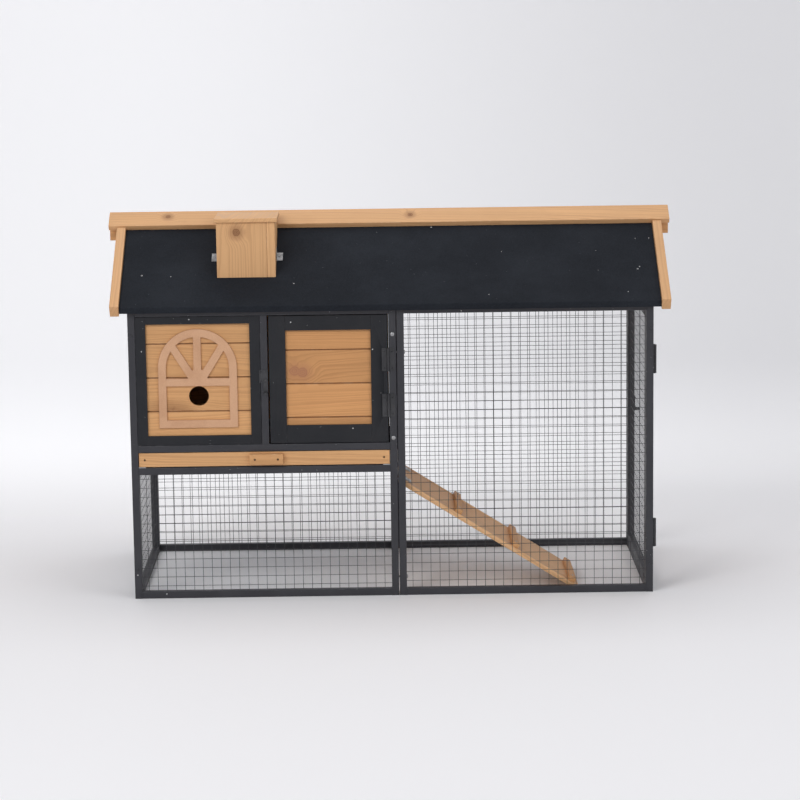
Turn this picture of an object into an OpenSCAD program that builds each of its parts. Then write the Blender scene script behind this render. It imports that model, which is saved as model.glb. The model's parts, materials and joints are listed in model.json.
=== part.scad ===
// Rabbit hutch: a raised timber house and a wire run in bolted square-tube steel
// frames, under a felted pitched roof with a ridge cap and a small chimney.
// Millimetres. +X to the right seen from the front, +Y to the back, +Z up.
// The origin is on the floor, under the middle of the roof.

/* [Body] */
// Width over the front frames
body_w = 1450; // [1380:5:1560]
// Depth over the front and back frames
body_d = 620; // [560:5:740]
// Height of the steel frames
frame_h = 815; // [780:5:960]
// Width of the left frame, which holds the house
house_w = 739; // [700:1:820]
// Gap between the two centre posts
frame_gap = 2; // [0.5:0.5:3]

/* [Steel frames] */
// Outside width of the square tube
tube = 20; // [16:1:24]
// Wall of the square tube
tube_wall = 1.2; // [1:0.1:2]
// Root gap at each welded tube end
weld_gap = 0.1; // [0.05:0.05:0.2]
// Underside of the rail that carries the tray
floor_rail_z = 352; // [330:1:370]
// Height of the slot for the tray front
tray_slot_h = 43; // [40:1:50]
// Clear width of the window bay
window_bay_w = 344; // [300:1:350]

/* [Wire mesh] */
// Diameter of the mesh wire
wire_d = 1.4; // [1:0.1:2]
// Distance between wires
mesh_pitch = 25.4; // [20:0.1:40]
// Least distance from the outer wires to the tube
mesh_margin = 8; // [4:1:12]
// Gap between the two layers of wires
layer_gap = 0.1; // [0.05:0.05:0.2]

/* [Frame bolts] */
// Diameter of the bolts
bolt_d = 6; // [5:0.5:8]
// Clearance on the diameter of a bolt hole
bolt_clearance = 0.4; // [0.2:0.1:1]
// Width of a mushroom head on a centre post
mushroom_d = 12; // [10:0.5:14]
// Width of a head on a corner post
corner_head_d = 8; // [7:0.5:10]
// Height of a bolt head
bolt_head_h = 3; // [2:0.5:4]
// Height of the lower corner bolts
corner_bolt_low = 84; // [60:1:120]
// Distance of the upper corner bolts below the frame top
corner_bolt_drop = 72; // [50:1:90]
// Distance of the lower centre bolts above the upper rail
centre_bolt_rise = 13; // [10:1:30]
// Distance of the upper centre bolts below the frame top
centre_bolt_drop = 77; // [60:1:90]
// Mesh rows below the lowest bolt between the centre posts
cross_bolt_low = 0; // [0:1:3]
// Mesh rows between the floor rail and the middle bolt
cross_bolt_mid = 1; // [0:1:3]
// Mesh rows above the upper bolt between the centre posts
cross_bolt_high = 3; // [2:1:5]

/* [Timber panels] */
// Thickness of a painted panel frame
panel_t = 18; // [16:1:20]
// Gap around a fixed panel
panel_gap = 0.5; // [0.3:0.1:1]
// Thickness of the framed boards
board_t = 9; // [7:1:10]
// Thickness of the wall boards
wall_board_t = 12; // [9:1:14]
// Width of a board
board_pitch = 94.5; // [70:0.5:120]
// Visible height of the top board in a framed panel
top_board_h = 55; // [30:1:90]
// Gap between two boards
board_gap = 0.3; // [0.2:0.1:1]
// Chamfer along a board's edges
board_chamfer = 1.8; // [1:0.1:3]
// Set-back of the boards in their frame
board_setback = 7; // [6:0.5:8]
// Depth of the groove that holds the boards
groove_d = 8; // [5:1:12]
// Clearance of a board in its groove
groove_clearance = 0.2; // [0.1:0.05:0.4]

/* [Window panel] */
// Width of the left and right stiles
window_stile = 28.5; // [24:0.5:34]
// Height of the top rail
window_top_rail = 21; // [18:1:30]
// Height of the bottom rail
window_bottom_rail = 26; // [20:1:34]
// Diameter of the peep hole
peep_d = 55; // [40:1:60]
// Height of the peep hole above the upper rail
peep_rise = 137; // [125:1:145]
// Width of the arched trim
arch_w = 218; // [190:1:230]
// Height of the arched trim
arch_h = 276; // [250:1:290]
// Thickness of the arched trim
arch_t = 5; // [3:0.5:6]
// Width of the trim's outer band
arch_band = 22; // [18:1:26]
// Width of the trim's bars
arch_bar = 21; // [16:1:24]
// Height of the trim above the panel's window
arch_rise = 22; // [15:1:25]
// Lean of the slanting bars
spoke_lean = 32; // [25:1:38]
// Width of the disc where the bars meet
hub_d = 54; // [42:1:60]
// Distance of the trim from the window's middle, to the left
arch_shift = 2; // [0:0.5:6]

/* [Front door] */
// Gap around the door
door_gap = 4; // [3:0.5:5]
// Gap above and below the door
door_gap_z = 2; // [1.5:0.5:3]
// Width of the door's stiles
door_stile = 46; // [40:1:55]
// Height of the door's top rail
door_top_rail = 41; // [35:1:50]
// Height of the door's bottom rail
door_bottom_rail = 50; // [40:1:55]
// Height of a door hinge
door_hinge_h = 64; // [45:1:80]
// Distance of the door hinges above and below their middle
door_hinge_reach = 64; // [50:1:80]
// Distance of the hinges' middle below the door's middle
door_hinge_drop = 11; // [0:1:20]

/* [Hinges and latches] */
// Outside radius of a hinge knuckle
knuckle_r = 3.5; // [3:0.1:4.5]
// Diameter of a hinge pin
pin_d = 4; // [3:0.1:4.5]
// Clearance on the diameter of a hinge pin
pin_clearance = 0.16; // [0.1:0.02:0.2]
// Thickness of a hinge leaf
leaf_t = 1.5; // [1:0.1:2]
// Width of a hinge leaf from its pin
leaf_w = 18; // [14:0.5:18]
// Gap between a knuckle and its neighbour
knuckle_gap = 0.5; // [0.3:0.1:1]
// Diameter of a small screw
screw_d = 3; // [2:0.1:3.5]
// Length of a small screw
screw_l = 12; // [8:1:14]
// Width of a small screw's head
screw_head_d = 6; // [5:0.5:7]
// Height of a small screw's head
screw_head_h = 1.4; // [1:0.1:2]
// Width and height of a latch plate
latch_w = 24; // [20:1:26]
latch_h = 36; // [30:1:45]
// Length and width of a latch lever
lever_l = 46; // [38:1:50]
lever_w = 12; // [10:1:14]
// Thickness of a latch lever
lever_t = 2; // [1.5:0.5:3]
// Gap between a lever and its plate
lever_gap = 0.5; // [0.4:0.1:1]
// Diameter of a latch rivet
rivet_d = 5; // [4:0.5:6]
// Diameter and height of a lever's thumb knob
knob_d = 11; // [6:0.5:12]
knob_h = 14; // [6:0.5:16]
// Height of the front latch plate above the upper rail
front_latch_rise = 192; // [120:1:200]
// Height of the side latch plate
side_latch_z = 446; // [300:1:500]

/* [Tray] */
// Thickness of the tray's front board
tray_front_t = 16; // [12:1:18]
// Set-back of the tray's front behind the frame's face
tray_setback = 2; // [0:0.5:4]
// Gap around the tray's front
tray_gap = 1.5; // [1:0.5:3]
// Height of the pan's walls
pan_h = 30; // [20:1:35]
// Thickness of the pan's sheet
pan_t = 1; // [0.8:0.1:1.5]
// Gap between the pan and each runner's upright
pan_side_gap = 2; // [1:0.5:4]
// Gap behind the pan
pan_back_gap = 6; // [3:1:20]
// Width of a runner's flanges
runner_w = 20; // [15:1:25]
// Thickness of a runner
runner_t = 2; // [1.5:0.5:3]
// Gap between the pan and its runners
slide_gap = 0.3; // [0.3:0.1:0.5]
// Width, height and depth of the handle block
handle_w = 94; // [80:1:120]
handle_h = 29; // [24:1:32]
handle_t = 16; // [12:1:16]
// Distance of the handle from the tray's middle, to the right
handle_shift = 6; // [0:1:12]

/* [Side door] */
// Outside radius of a side door hinge's knuckle
side_knuckle_r = 6; // [4:0.5:7]
// Height of a side door hinge
side_hinge_h = 80; // [60:1:90]
// Distance of the side door hinges above and below the door's middle
side_hinge_reach = 246; // [200:1:280]

/* [Ramp] */
// Length of the ramp from its hinge pin
ramp_l = 595; // [540:1:620]
// Width of the ramp
ramp_w = 250; // [200:1:280]
// Thickness of the ramp
ramp_t = 13; // [10:1:18]
// Height of the ramp's hinge pin below the floor rail's underside
ramp_pin_drop = 18; // [14:1:60]
// Distance from the front face to the ramp's front edge
ramp_inset = 26; // [24:1:170]
// Gap between the ramp's foot and the floor
foot_gap = 1.5; // [1:0.5:3]
// Gap between the pin and the ramp's upper end
ramp_end_gap = 8; // [7:0.5:12]
// Pitch of the cleats
cleat_pitch = 187; // [150:1:195]
// Distance of the last cleat's middle from the foot
cleat_end = 25; // [20:1:40]
// Width and height of a cleat
cleat_w = 20; // [15:1:25]
cleat_h = 12; // [10:1:15]
// Distance of a cleat's ends from the ramp's edges
cleat_inset = 5; // [0:1:20]
// Width of a ramp hinge along its pin
ramp_hinge_w = 40; // [30:1:50]
// Distance of the ramp hinges from the ramp's middle
ramp_hinge_reach = 80; // [60:1:85]
// Length of a ramp hinge's lower leaf
ramp_leaf_l = 42; // [35:1:55]
// Width of the doorway into the house
doorway_w = 190; // [160:1:195]
// Height of the doorway above the floor rail
doorway_h = 238; // [200:1:300]

/* [Roof] */
// Slope of the roof in degrees
slope = 33.5; // [30:0.5:36]
// Overhang of the roof boards at the eaves
eave_over = 12; // [10:1:20]
// Overhang of the felt beyond the frames at each end
verge_over = 20; // [18:1:40]
// Thickness of the roof boards
roof_board_t = 12; // [8:0.5:14]
// Thickness of the felt
felt_t = 2; // [1.5:0.5:4]
// Depth of the felt's turned-down edge
felt_lip = 16; // [8:1:20]
// Thickness and depth of a barge board
barge_t = 25; // [18:1:26]
barge_h = 36; // [30:1:45]
// Gap between the felt and a barge board
barge_gap = 1; // [0.5:0.5:3]
// Height of a barge board above the felt
barge_proud = 12; // [0:1:16]
// Reach of a barge board's end beyond the roof board
barge_over = 1; // [0.5:0.5:4]
// Overhang of the ridge beyond the barge boards
ridge_over = 24; // [15:1:35]
// Width and thickness of a ridge cap board
cap_w = 52; // [45:1:60]
cap_t = 16; // [12:1:18]
// Thickness and height of the ridge beam
beam_t = 20; // [16:1:25]
beam_h = 54; // [45:1:70]
// Thickness of a gable panel
gable_t = 12; // [9:1:15]
// Width and depth of a rafter
rafter_w = 20; // [18:1:25]
rafter_h = 25; // [20:1:30]
// Gap between two touching roof pieces
seat_gap = 0.1; // [0.05:0.05:0.2]
// Distance of the roof screws up from the front face
roof_screw_in = 100; // [60:1:160]

/* [Chimney] */
// Width of the chimney
chimney_w = 163; // [140:1:190]
// Distance of the chimney's left side from the frame's left side
chimney_x = 245; // [200:1:500]
// Distance of the chimney's front behind the front face
chimney_in = 88; // [70:1:110]
// Depth of the chimney
chimney_d = 166; // [120:1:170]
// Height of the chimney's front
chimney_h = 154; // [150:1:156]
// Thickness of the chimney's boards
chimney_t = 12; // [9:1:15]
// Width of the narrow front board
chimney_strip = 23; // [15:1:40]
// Thickness of the chimney's cap
chimney_cap_t = 11; // [9:1:12]
// Overhang of the chimney's cap
chimney_cap_over = 6; // [4:1:12]
// Overhang of the chimney's cap towards the ridge
chimney_cap_back = 17; // [8:1:20]
// Length, foot and upright of a bracket
bracket_l = 34; // [25:1:40]
bracket_foot = 18; // [15:1:22]
bracket_up = 20; // [15:1:25]
// Distance of the brackets behind the chimney's front
bracket_in = 73; // [45:1:80]

/* [Hidden] */

$fn = 48;
arch_sides = 96;
wire_sides = 8;
eps = 1;

// Colours
steel_black = "#3c3d42";
timber = "#c9985f";
paint_black = "#333539";
trim_tan = "#b98a68";
galvanised = "#b9bcbf";
felt_black = "#2a2d33";

// Faces and posts
left_x = -body_w / 2;
right_x = body_w / 2;
front_y = -body_d / 2;
back_y = body_d / 2;
post_a_x = left_x + house_w - tube;
post_b_x = left_x + house_w + frame_gap;
mid_post_x = left_x + tube + window_bay_w;
side_post_front_y = front_y + tube;
side_post_back_y = back_y - 2 * tube;

// Levels
floor_z = floor_rail_z + tube;
upper_rail_z = floor_z + tray_slot_h;
bay_z = upper_rail_z + tube;
top_rail_z = frame_h - tube;

// Front door
door_x0 = mid_post_x + tube + door_gap;
door_x1 = post_a_x - door_gap;
door_z0 = bay_z + door_gap_z;
door_z1 = top_rail_z - door_gap_z;
door_pin_x = post_a_x - door_gap / 2;
door_pin_y = front_y - knuckle_r;
door_hinge_zs = [for (s = [-1, 1]) (door_z0 + door_z1) / 2 - door_hinge_drop + s * door_hinge_reach];

// Side door
side_door_y0 = side_post_front_y + tube + door_gap_z;
side_door_y1 = side_post_back_y - door_gap_z;
side_door_z0 = tube + door_gap_z;
side_door_z1 = top_rail_z - door_gap_z;
side_pin_x = right_x + side_knuckle_r;
side_pin_y = side_door_y0 - door_gap_z / 2;
side_hinge_zs = [for (s = [-1, 1]) (side_door_z0 + side_door_z1) / 2 + s * side_hinge_reach];

// Hinges
knuckles = 3;
bore_d = pin_d + pin_clearance;
screw_inset = 9;
ramp_screw_inset = 8;
pin_head = 0.8;
pin_head_grow = 1.5;
head_taper = 0.6;

// Latches
rivet_inset = 6;
rivet_head_h = 1.6;
rivet_grow = 4;
knob_taper = 0.8;
front_latch_edge = 6;
lever_y = leaf_t + lever_gap;
latch_screw_inset = 4.5;
latch_screw_d = 2;
latch_screw_head_d = 4;
latch_screw_l = 6;
front_latch_x = mid_post_x + tube - front_latch_edge;
front_latch_z = upper_rail_z + front_latch_rise;
side_latch_y = side_post_back_y + tube;

// Ramp
ramp_pin_x = post_a_x + tube + knuckle_r;
ramp_pin_z = floor_rail_z - ramp_pin_drop;
ramp_y0 = front_y + ramp_inset;
ramp_mid_y = ramp_y0 + ramp_w / 2;
ramp_under = knuckle_r + ramp_t;
ramp_angle = asin((ramp_pin_z - foot_gap) / norm([ramp_l, ramp_under])) - atan(ramp_under / ramp_l);
cleats = 3;
cleat_us = [for (i = [0 : cleats - 1]) ramp_l - cleat_end - i * cleat_pitch];
strap_edge = 2;
strap_screws = [-5, 4];
ramp_strap_l = ramp_pin_drop + tube - strap_edge;
ramp_strap_screws = [for (up = strap_screws) ramp_pin_drop + tube / 2 + up];

// Roof
tan_s = tan(slope);
cos_s = cos(slope);
sin_s = sin(slope);
felt_up = (roof_board_t + felt_t) / cos_s;
verge_x = body_w / 2 + verge_over;
barge_x = verge_x + barge_gap;
ridge_x = barge_x + barge_t + ridge_over;
eave_y = front_y - eave_over;
felt_edge_y = eave_y - felt_t;
barge_low = barge_h - barge_proud;
barge_end_s = ((roof_board_t + felt_t) * sin_s - eave_y + barge_over) / cos_s;
barge_cap_s = cap_w + barge_gap;
roof_top_y = -beam_t / 2 - seat_gap;
beam_top_z = felt_top(roof_top_y) - seat_gap;
apex_z = felt_top(0) + seat_gap;
rafter_side_gap = 5;
rafter_x = body_w / 2 - tube - rafter_w / 2 - rafter_side_gap;
roof_screw_y = front_y + roof_screw_in;

// Chimney
chimney_left = left_x + chimney_x;
chimney_right = chimney_left + chimney_w;
chimney_front = front_y + chimney_in;
chimney_back = chimney_front + chimney_d;
chimney_top = felt_top(chimney_front) + chimney_h;
bracket_y = chimney_front + bracket_in;

// Height of the roof boards' underside at a depth on the front slope
function roof_under(y) = frame_h + (y - front_y) * tan_s;
// Height of the felt's top at a depth on the front slope
function felt_top(y) = roof_under(y) + felt_up;
// A point of the front slope: s down from the ridge along the felt, lift out of it
function on_felt(s, lift) = [-s * cos_s - lift * sin_s, felt_top(0) - s * sin_s + lift * cos_s];
// Distance from a frame to its first wire, so that the mesh is centred
function wire_start(span) = (span - floor((span - 2 * mesh_margin) / mesh_pitch) * mesh_pitch) / 2;
// Places of the wires across a span
function wires(span) = [for (p = [wire_start(span) : mesh_pitch : span - mesh_margin / 2]) p];
// Board edges below a top height: the first board may be narrower
function board_edges(top, bottom, first) =
    concat([top], [for (z = [top - first : -board_pitch : bottom + 2 * board_chamfer]) z], [bottom]);

// ---- shared shapes ----

// Square tube along Z from the origin
module tube_z(length) {
    difference() {
        cube([tube, tube, length]);
        translate([tube_wall, tube_wall, -eps])
            cube([tube - 2 * tube_wall, tube - 2 * tube_wall, length + 2 * eps]);
    }
}

module post(x, y, z0, z1) {
    translate([x, y, z0]) tube_z(z1 - z0);
}

// Tube along X between two posts' faces
module rail_x(x0, x1, y, z) {
    translate([x0 + weld_gap, y, z + tube]) rotate([0, 90, 0]) tube_z(x1 - x0 - 2 * weld_gap);
}

// Tube along Y between two posts' faces
module rail_y(y0, y1, x, z) {
    translate([x, y1 - weld_gap, z]) rotate([90, 0, 0]) tube_z(y1 - y0 - 2 * weld_gap);
}

// A profile in Y and Z carried along X
module along_x(x0, x1, points) {
    translate([x0, 0, 0]) rotate([90, 0, 90]) linear_extrude(height = x1 - x0) polygon(points);
}

// Upright mesh of crossing wires over a width and a height, upright wires at y = 0
module mesh(width, height) {
    for (x = wires(width))
        translate([x, 0, 0]) cylinder(d = wire_d, h = height, $fn = wire_sides);
    for (z = wires(height))
        translate([0, wire_d + layer_gap, z]) rotate([0, 90, 0])
            cylinder(d = wire_d, h = width, $fn = wire_sides);
}

// Level boards stacked down a wall, with chamfered edges, front face at y = 0
module boards(width, bottom, top, first, thickness) {
    edges = board_edges(top, bottom, first);
    for (i = [0 : len(edges) - 2]) {
        hi = edges[i] - (i == 0 ? 0 : board_gap / 2);
        lo = edges[i + 1] + (i == len(edges) - 2 ? 0 : board_gap / 2);
        along_x(0, width, [
            [board_chamfer, lo], [thickness, lo], [thickness, hi],
            [board_chamfer, hi], [0, hi - board_chamfer], [0, lo + board_chamfer]
        ]);
    }
}

// Stiles and rails with a groove for boards, front face at y = 0
module panel_frame(w, h, stile, top_rail, bottom_rail) {
    difference() {
        union() {
            cube([stile, panel_t, h]);
            translate([w - stile, 0, 0]) cube([stile, panel_t, h]);
            translate([stile + seat_gap, 0, 0])
                cube([w - 2 * stile - 2 * seat_gap, panel_t, bottom_rail]);
            translate([stile + seat_gap, 0, h - top_rail])
                cube([w - 2 * stile - 2 * seat_gap, panel_t, top_rail]);
        }
        translate([stile - groove_d, board_setback - groove_clearance, bottom_rail - groove_d])
            cube([
                w - 2 * stile + 2 * groove_d, board_t + 2 * groove_clearance,
                h - top_rail - bottom_rail + 2 * groove_d
            ]);
    }
}

// The boards held by a panel frame's groove
module panel_boards(w, h, stile, top_rail, bottom_rail) {
    tongue = groove_d - groove_clearance;
    translate([stile - tongue, board_setback, 0])
        boards(w - 2 * stile + 2 * tongue, bottom_rail - tongue, h - top_rail + tongue,
            top_board_h + tongue, board_t);
}

// A screw or bolt along Z: its head's underside is at z = 0
module fastener(d, head_d, head_h, length) {
    cylinder(d1 = head_d, d2 = head_d * head_taper, h = head_h);
    translate([0, 0, -length]) cylinder(d = d, h = length + head_h / 2);
}

// Turns +Z to face the front, the right or the back
module facing_front(x, y, z) {
    translate([x, y, z]) rotate([90, 0, 0]) children();
}

module facing_right(x, y, z) {
    translate([x, y, z]) rotate([0, 90, 0]) children();
}

module facing_back(x, y, z) {
    translate([x, y, z]) rotate([-90, 0, 0]) children();
}

// One leaf of a butt hinge: pin on Z, wall at y = r, leaf towards +X. r is the
// knuckle's radius; own lists the knuckles, counted from below, of this leaf.
module hinge_leaf(height, width, own, holes, r = knuckle_r) {
    step = height / knuckles;
    plate_start = r + knuckle_gap;
    difference() {
        union() {
            translate([plate_start, r - leaf_t, -height / 2])
                cube([width - plate_start, leaf_t, height]);
            for (i = own)
                translate([0, 0, -height / 2 + i * step + knuckle_gap / 2]) {
                    cylinder(r = r, h = step - knuckle_gap);
                    translate([0, r - leaf_t, 0])
                        cube([plate_start + eps, leaf_t, step - knuckle_gap]);
                }
        }
        translate([0, 0, -height / 2 - eps]) cylinder(d = bore_d, h = height + 2 * eps);
        for (p = holes)
            translate([p[0], r + eps, p[1]]) rotate([90, 0, 0])
                cylinder(d = screw_d, h = leaf_t + 2 * eps);
    }
}

// Pin with a small head at each end
module hinge_pin(height) {
    translate([0, 0, -height / 2]) cylinder(d = pin_d, h = height);
    for (s = [-1, 1])
        translate([0, 0, s * (height + pin_head) / 2])
            cylinder(d = pin_d + pin_head_grow, h = pin_head, center = true);
}

// Screw places on a leaf: in the middle of its width, near its ends
function leaf_holes(height, r = knuckle_r) =
    [for (s = [-1, 1]) [(r + knuckle_gap + leaf_w) / 2, s * (height / 2 - screw_inset)]];
side_leaf_holes = leaf_holes(side_hinge_h, side_knuckle_r);

// Latch plate with its rivet: wall at y = 0, front towards -Y, door towards +X
module latch_plate() {
    difference() {
        translate([-latch_w + rivet_inset, -leaf_t, -rivet_inset]) cube([latch_w, leaf_t, latch_h]);
        latch_screw_places() translate([0, 0, -leaf_t - eps])
            cylinder(d = latch_screw_d, h = leaf_t + 2 * eps);
    }
    rotate([90, 0, 0]) cylinder(d = rivet_d, h = lever_y + lever_t + lever_gap + eps / 2);
    translate([0, -lever_y - lever_t - lever_gap, 0]) rotate([90, 0, 0])
        cylinder(d1 = rivet_d + rivet_grow, d2 = rivet_d, h = rivet_head_h);
}

module latch_screw_places() {
    for (p = [
        [-latch_w + rivet_inset + latch_screw_inset, latch_h - rivet_inset - latch_screw_inset],
        [rivet_inset - latch_screw_inset, latch_h - rivet_inset - latch_screw_inset],
        [-latch_w + rivet_inset + latch_screw_inset, -rivet_inset + latch_screw_inset]
    ])
        translate([p[0], -leaf_t, p[1]]) rotate([90, 0, 0]) children();
}

// Turn-button lever, hanging down from its rivet
module latch_lever() {
    difference() {
        translate([0, -lever_y, 0]) rotate([90, 0, 0]) linear_extrude(height = lever_t) {
            circle(d = lever_w);
            translate([-lever_w / 2, -lever_l + lever_w]) square([lever_w, lever_l - lever_w]);
            translate([0, -lever_l + lever_w]) circle(d = lever_w);
        }
        rotate([90, 0, 0]) cylinder(d = rivet_d + pin_clearance, h = lever_y + lever_t + eps);
    }
    translate([0, -lever_y - lever_t + eps / 2, -lever_l + lever_w]) rotate([90, 0, 0])
        cylinder(d1 = knob_d, d2 = knob_d * knob_taper, h = knob_h + eps / 2);
}

module at_front_latch() {
    translate([front_latch_x, front_y, front_latch_z + rivet_inset]) children();
}

module at_side_latch() {
    translate([right_x, side_latch_y, side_latch_z + rivet_inset])
        rotate([0, 0, 90]) mirror([1, 0, 0]) children();
}

module at_front_hinges() {
    for (z = door_hinge_zs) translate([door_pin_x, door_pin_y, z]) children();
}

module at_side_hinges() {
    for (z = side_hinge_zs) translate([side_pin_x, side_pin_y, z]) rotate([0, 0, 90]) children();
}

module at_ramp_hinges() {
    for (s = [-1, 1])
        translate([ramp_pin_x, ramp_mid_y + s * ramp_hinge_reach, ramp_pin_z]) children();
}

// The ramp's own frame: +X down the ramp from its pin, +Z out of its top face
module on_ramp() {
    translate([ramp_pin_x, ramp_mid_y, ramp_pin_z]) rotate([0, ramp_angle, 0]) children();
}

// ---- steel frames ----

// Bolts from the front into the posts behind: x, z and head width
function front_bolts() = [
    [left_x + tube / 2, corner_bolt_low, corner_head_d],
    [left_x + tube / 2, frame_h - corner_bolt_drop, corner_head_d],
    [post_a_x + tube / 2, upper_rail_z + tube + centre_bolt_rise, mushroom_d],
    [post_a_x + tube / 2, frame_h - centre_bolt_drop, mushroom_d],
    [right_x - tube / 2, corner_bolt_low, corner_head_d],
    [right_x - tube / 2, frame_h - corner_bolt_drop, corner_head_d]
];
mesh_start = wire_start(top_rail_z - tube);
mesh_rows = floor((top_rail_z - tube - 2 * mesh_margin) / mesh_pitch);
floor_row = floor((floor_rail_z - tube - mesh_start) / mesh_pitch);
cross_bolt_rows = [cross_bolt_low, floor_row - cross_bolt_mid, mesh_rows - 1 - cross_bolt_high];
cross_bolts = [for (row = cross_bolt_rows) tube + mesh_start + (row + 0.5) * mesh_pitch];
bolt_l = 2 * tube - tube_wall * 2;
cross_bolt_l = tube + frame_gap + tube / 2;
cross_bolt_ys = [front_y + tube / 2, back_y - tube / 2];

module bolt_holes(x0, x1) {
    for (b = front_bolts())
        if (b[0] > x0 && b[0] < x1)
            facing_front(b[0], back_y + eps, b[1])
                cylinder(d = bolt_d + bolt_clearance, h = body_d + 2 * eps);
}

module cross_holes() {
    for (z = cross_bolts, y = cross_bolt_ys)
        facing_right(post_a_x + tube / 2, y, z)
            cylinder(d = bolt_d + bolt_clearance, h = tube / 2 + frame_gap + tube + eps);
}

module front_left_frame() {
    color(steel_black) difference() {
        union() {
            for (x = [left_x, post_a_x]) post(x, front_y, 0, frame_h);
            post(mid_post_x, front_y, bay_z + weld_gap, top_rail_z - weld_gap);
            for (z = [0, floor_rail_z, upper_rail_z, top_rail_z])
                rail_x(left_x + tube, post_a_x, front_y, z);
        }
        bolt_holes(left_x, post_b_x);
        cross_holes();
    }
}

module front_right_frame() {
    color(steel_black) difference() {
        union() {
            for (x = [post_b_x, right_x - tube]) post(x, front_y, 0, frame_h);
            for (z = [0, top_rail_z]) rail_x(post_b_x + tube, right_x - tube, front_y, z);
        }
        bolt_holes(post_b_x + tube, right_x);
        cross_holes();
    }
}

module back_left_frame() {
    color(steel_black) difference() {
        union() {
            for (x = [left_x, post_a_x]) post(x, back_y - tube, 0, frame_h);
            for (z = [0, floor_rail_z, top_rail_z])
                rail_x(left_x + tube, post_a_x, back_y - tube, z);
        }
        bolt_holes(left_x, post_b_x);
        cross_holes();
    }
}

module back_right_frame() {
    color(steel_black) difference() {
        union() {
            for (x = [post_b_x, right_x - tube]) post(x, back_y - tube, 0, frame_h);
            for (z = [0, top_rail_z]) rail_x(post_b_x + tube, right_x - tube, back_y - tube, z);
        }
        bolt_holes(post_b_x + tube, right_x);
        cross_holes();
    }
}

// Posts behind the front and back frames, joined by rails at the given heights
module cross_frame(x, rails) {
    color(steel_black) difference() {
        union() {
            for (y = [side_post_front_y, side_post_back_y]) post(x, y, 0, frame_h);
            for (z = rails) rail_y(side_post_front_y + tube, side_post_back_y, x, z);
        }
        bolt_holes(x, x + tube);
    }
}

module left_side_frame() {
    cross_frame(left_x, [0, floor_rail_z, top_rail_z]);
}

module divider_frame() {
    cross_frame(post_a_x, [floor_rail_z, top_rail_z]);
}

module right_side_frame() {
    cross_frame(right_x - tube, [0, top_rail_z]);
}

module frame_bolts() {
    color(galvanised) {
        for (b = front_bolts()) {
            facing_front(b[0], front_y, b[1]) fastener(bolt_d, b[2], bolt_head_h, bolt_l);
            facing_back(b[0], back_y, b[1]) fastener(bolt_d, b[2], bolt_head_h, bolt_l);
        }
        for (z = cross_bolts, y = cross_bolt_ys)
            facing_right(post_b_x + tube, y, z)
                fastener(bolt_d, mushroom_d, bolt_head_h, cross_bolt_l);
    }
}

// ---- mesh ----

mesh_front_y = front_y + tube / 2;
mesh_back_y = back_y - tube / 2;
run_x = post_b_x + tube;
run_w = right_x - tube - run_x;
lower_w = post_a_x - left_x - tube;

module front_run_mesh() {
    color(steel_black) translate([run_x, mesh_front_y, tube]) mesh(run_w, top_rail_z - tube);
}

module front_lower_mesh() {
    color(steel_black) translate([left_x + tube, mesh_front_y, tube])
        mesh(lower_w, floor_rail_z - tube);
}

module back_run_mesh() {
    color(steel_black) translate([run_x, mesh_back_y, tube]) mesh(run_w, top_rail_z - tube);
}

module back_lower_mesh() {
    color(steel_black) translate([left_x + tube, mesh_back_y, tube])
        mesh(lower_w, floor_rail_z - tube);
}

module left_lower_mesh() {
    color(steel_black) translate([left_x + tube / 2, side_post_front_y + tube, tube])
        rotate([0, 0, 90]) mesh(side_post_back_y - side_post_front_y - tube, floor_rail_z - tube);
}

// ---- house walls ----

window_w = window_bay_w - 2 * panel_gap;
window_h = top_rail_z - bay_z - 2 * panel_gap;
window_mid_x = left_x + tube + window_bay_w / 2;
peep_z = upper_rail_z + tube + peep_rise;
hub_gap = 1;

module at_window_panel() {
    translate([left_x + tube + panel_gap, front_y, bay_z + panel_gap]) children();
}

module window_panel_frame() {
    color(paint_black) at_window_panel()
        panel_frame(window_w, window_h, window_stile, window_top_rail, window_bottom_rail);
}

module window_panel_boards() {
    color(timber) difference() {
        at_window_panel()
            panel_boards(window_w, window_h, window_stile, window_top_rail, window_bottom_rail);
        facing_front(window_mid_x, front_y + panel_t, peep_z) cylinder(d = peep_d, h = panel_t + eps);
    }
}

// Arched outline standing on its base, centred on x = 0
module arch_outline(w, h) {
    translate([-w / 2, 0]) square([w, h - w / 2]);
    translate([0, h - w / 2]) circle(d = w, $fn = arch_sides);
}

module arch_trim() {
    arch_z = bay_z + panel_gap + window_bottom_rail + arch_rise;
    hub_z = peep_z + peep_d / 2 + hub_gap - arch_z;
    color(trim_tan)
        translate([window_mid_x - arch_shift, front_y + board_setback, arch_z]) rotate([90, 0, 0])
            linear_extrude(height = arch_t) {
                difference() {
                    arch_outline(arch_w, arch_h);
                    translate([0, arch_band]) arch_outline(arch_w - 2 * arch_band, arch_h - 2 * arch_band);
                }
                intersection() {
                    arch_outline(arch_w, arch_h);
                    translate([-arch_w / 2, hub_z]) square([arch_w, arch_h]);
                    union() {
                        translate([-arch_w / 2, hub_z]) square([arch_w, arch_bar]);
                        for (lean = [-spoke_lean, 0, spoke_lean])
                            translate([0, hub_z]) rotate(lean)
                                translate([-arch_bar / 2, 0]) square([arch_bar, arch_h]);
                        translate([0, hub_z + arch_bar]) circle(d = hub_d);
                    }
                }
            }
}

wall_span = side_post_back_y - side_post_front_y - tube - 2 * panel_gap;
wall_inset = (tube - wall_board_t) / 2;

module left_wall_boards() {
    color(timber)
        translate([left_x + wall_inset, side_post_back_y - panel_gap, 0]) rotate([0, 0, -90])
            boards(wall_span, floor_z + panel_gap, top_rail_z - panel_gap, board_pitch, wall_board_t);
}

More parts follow.
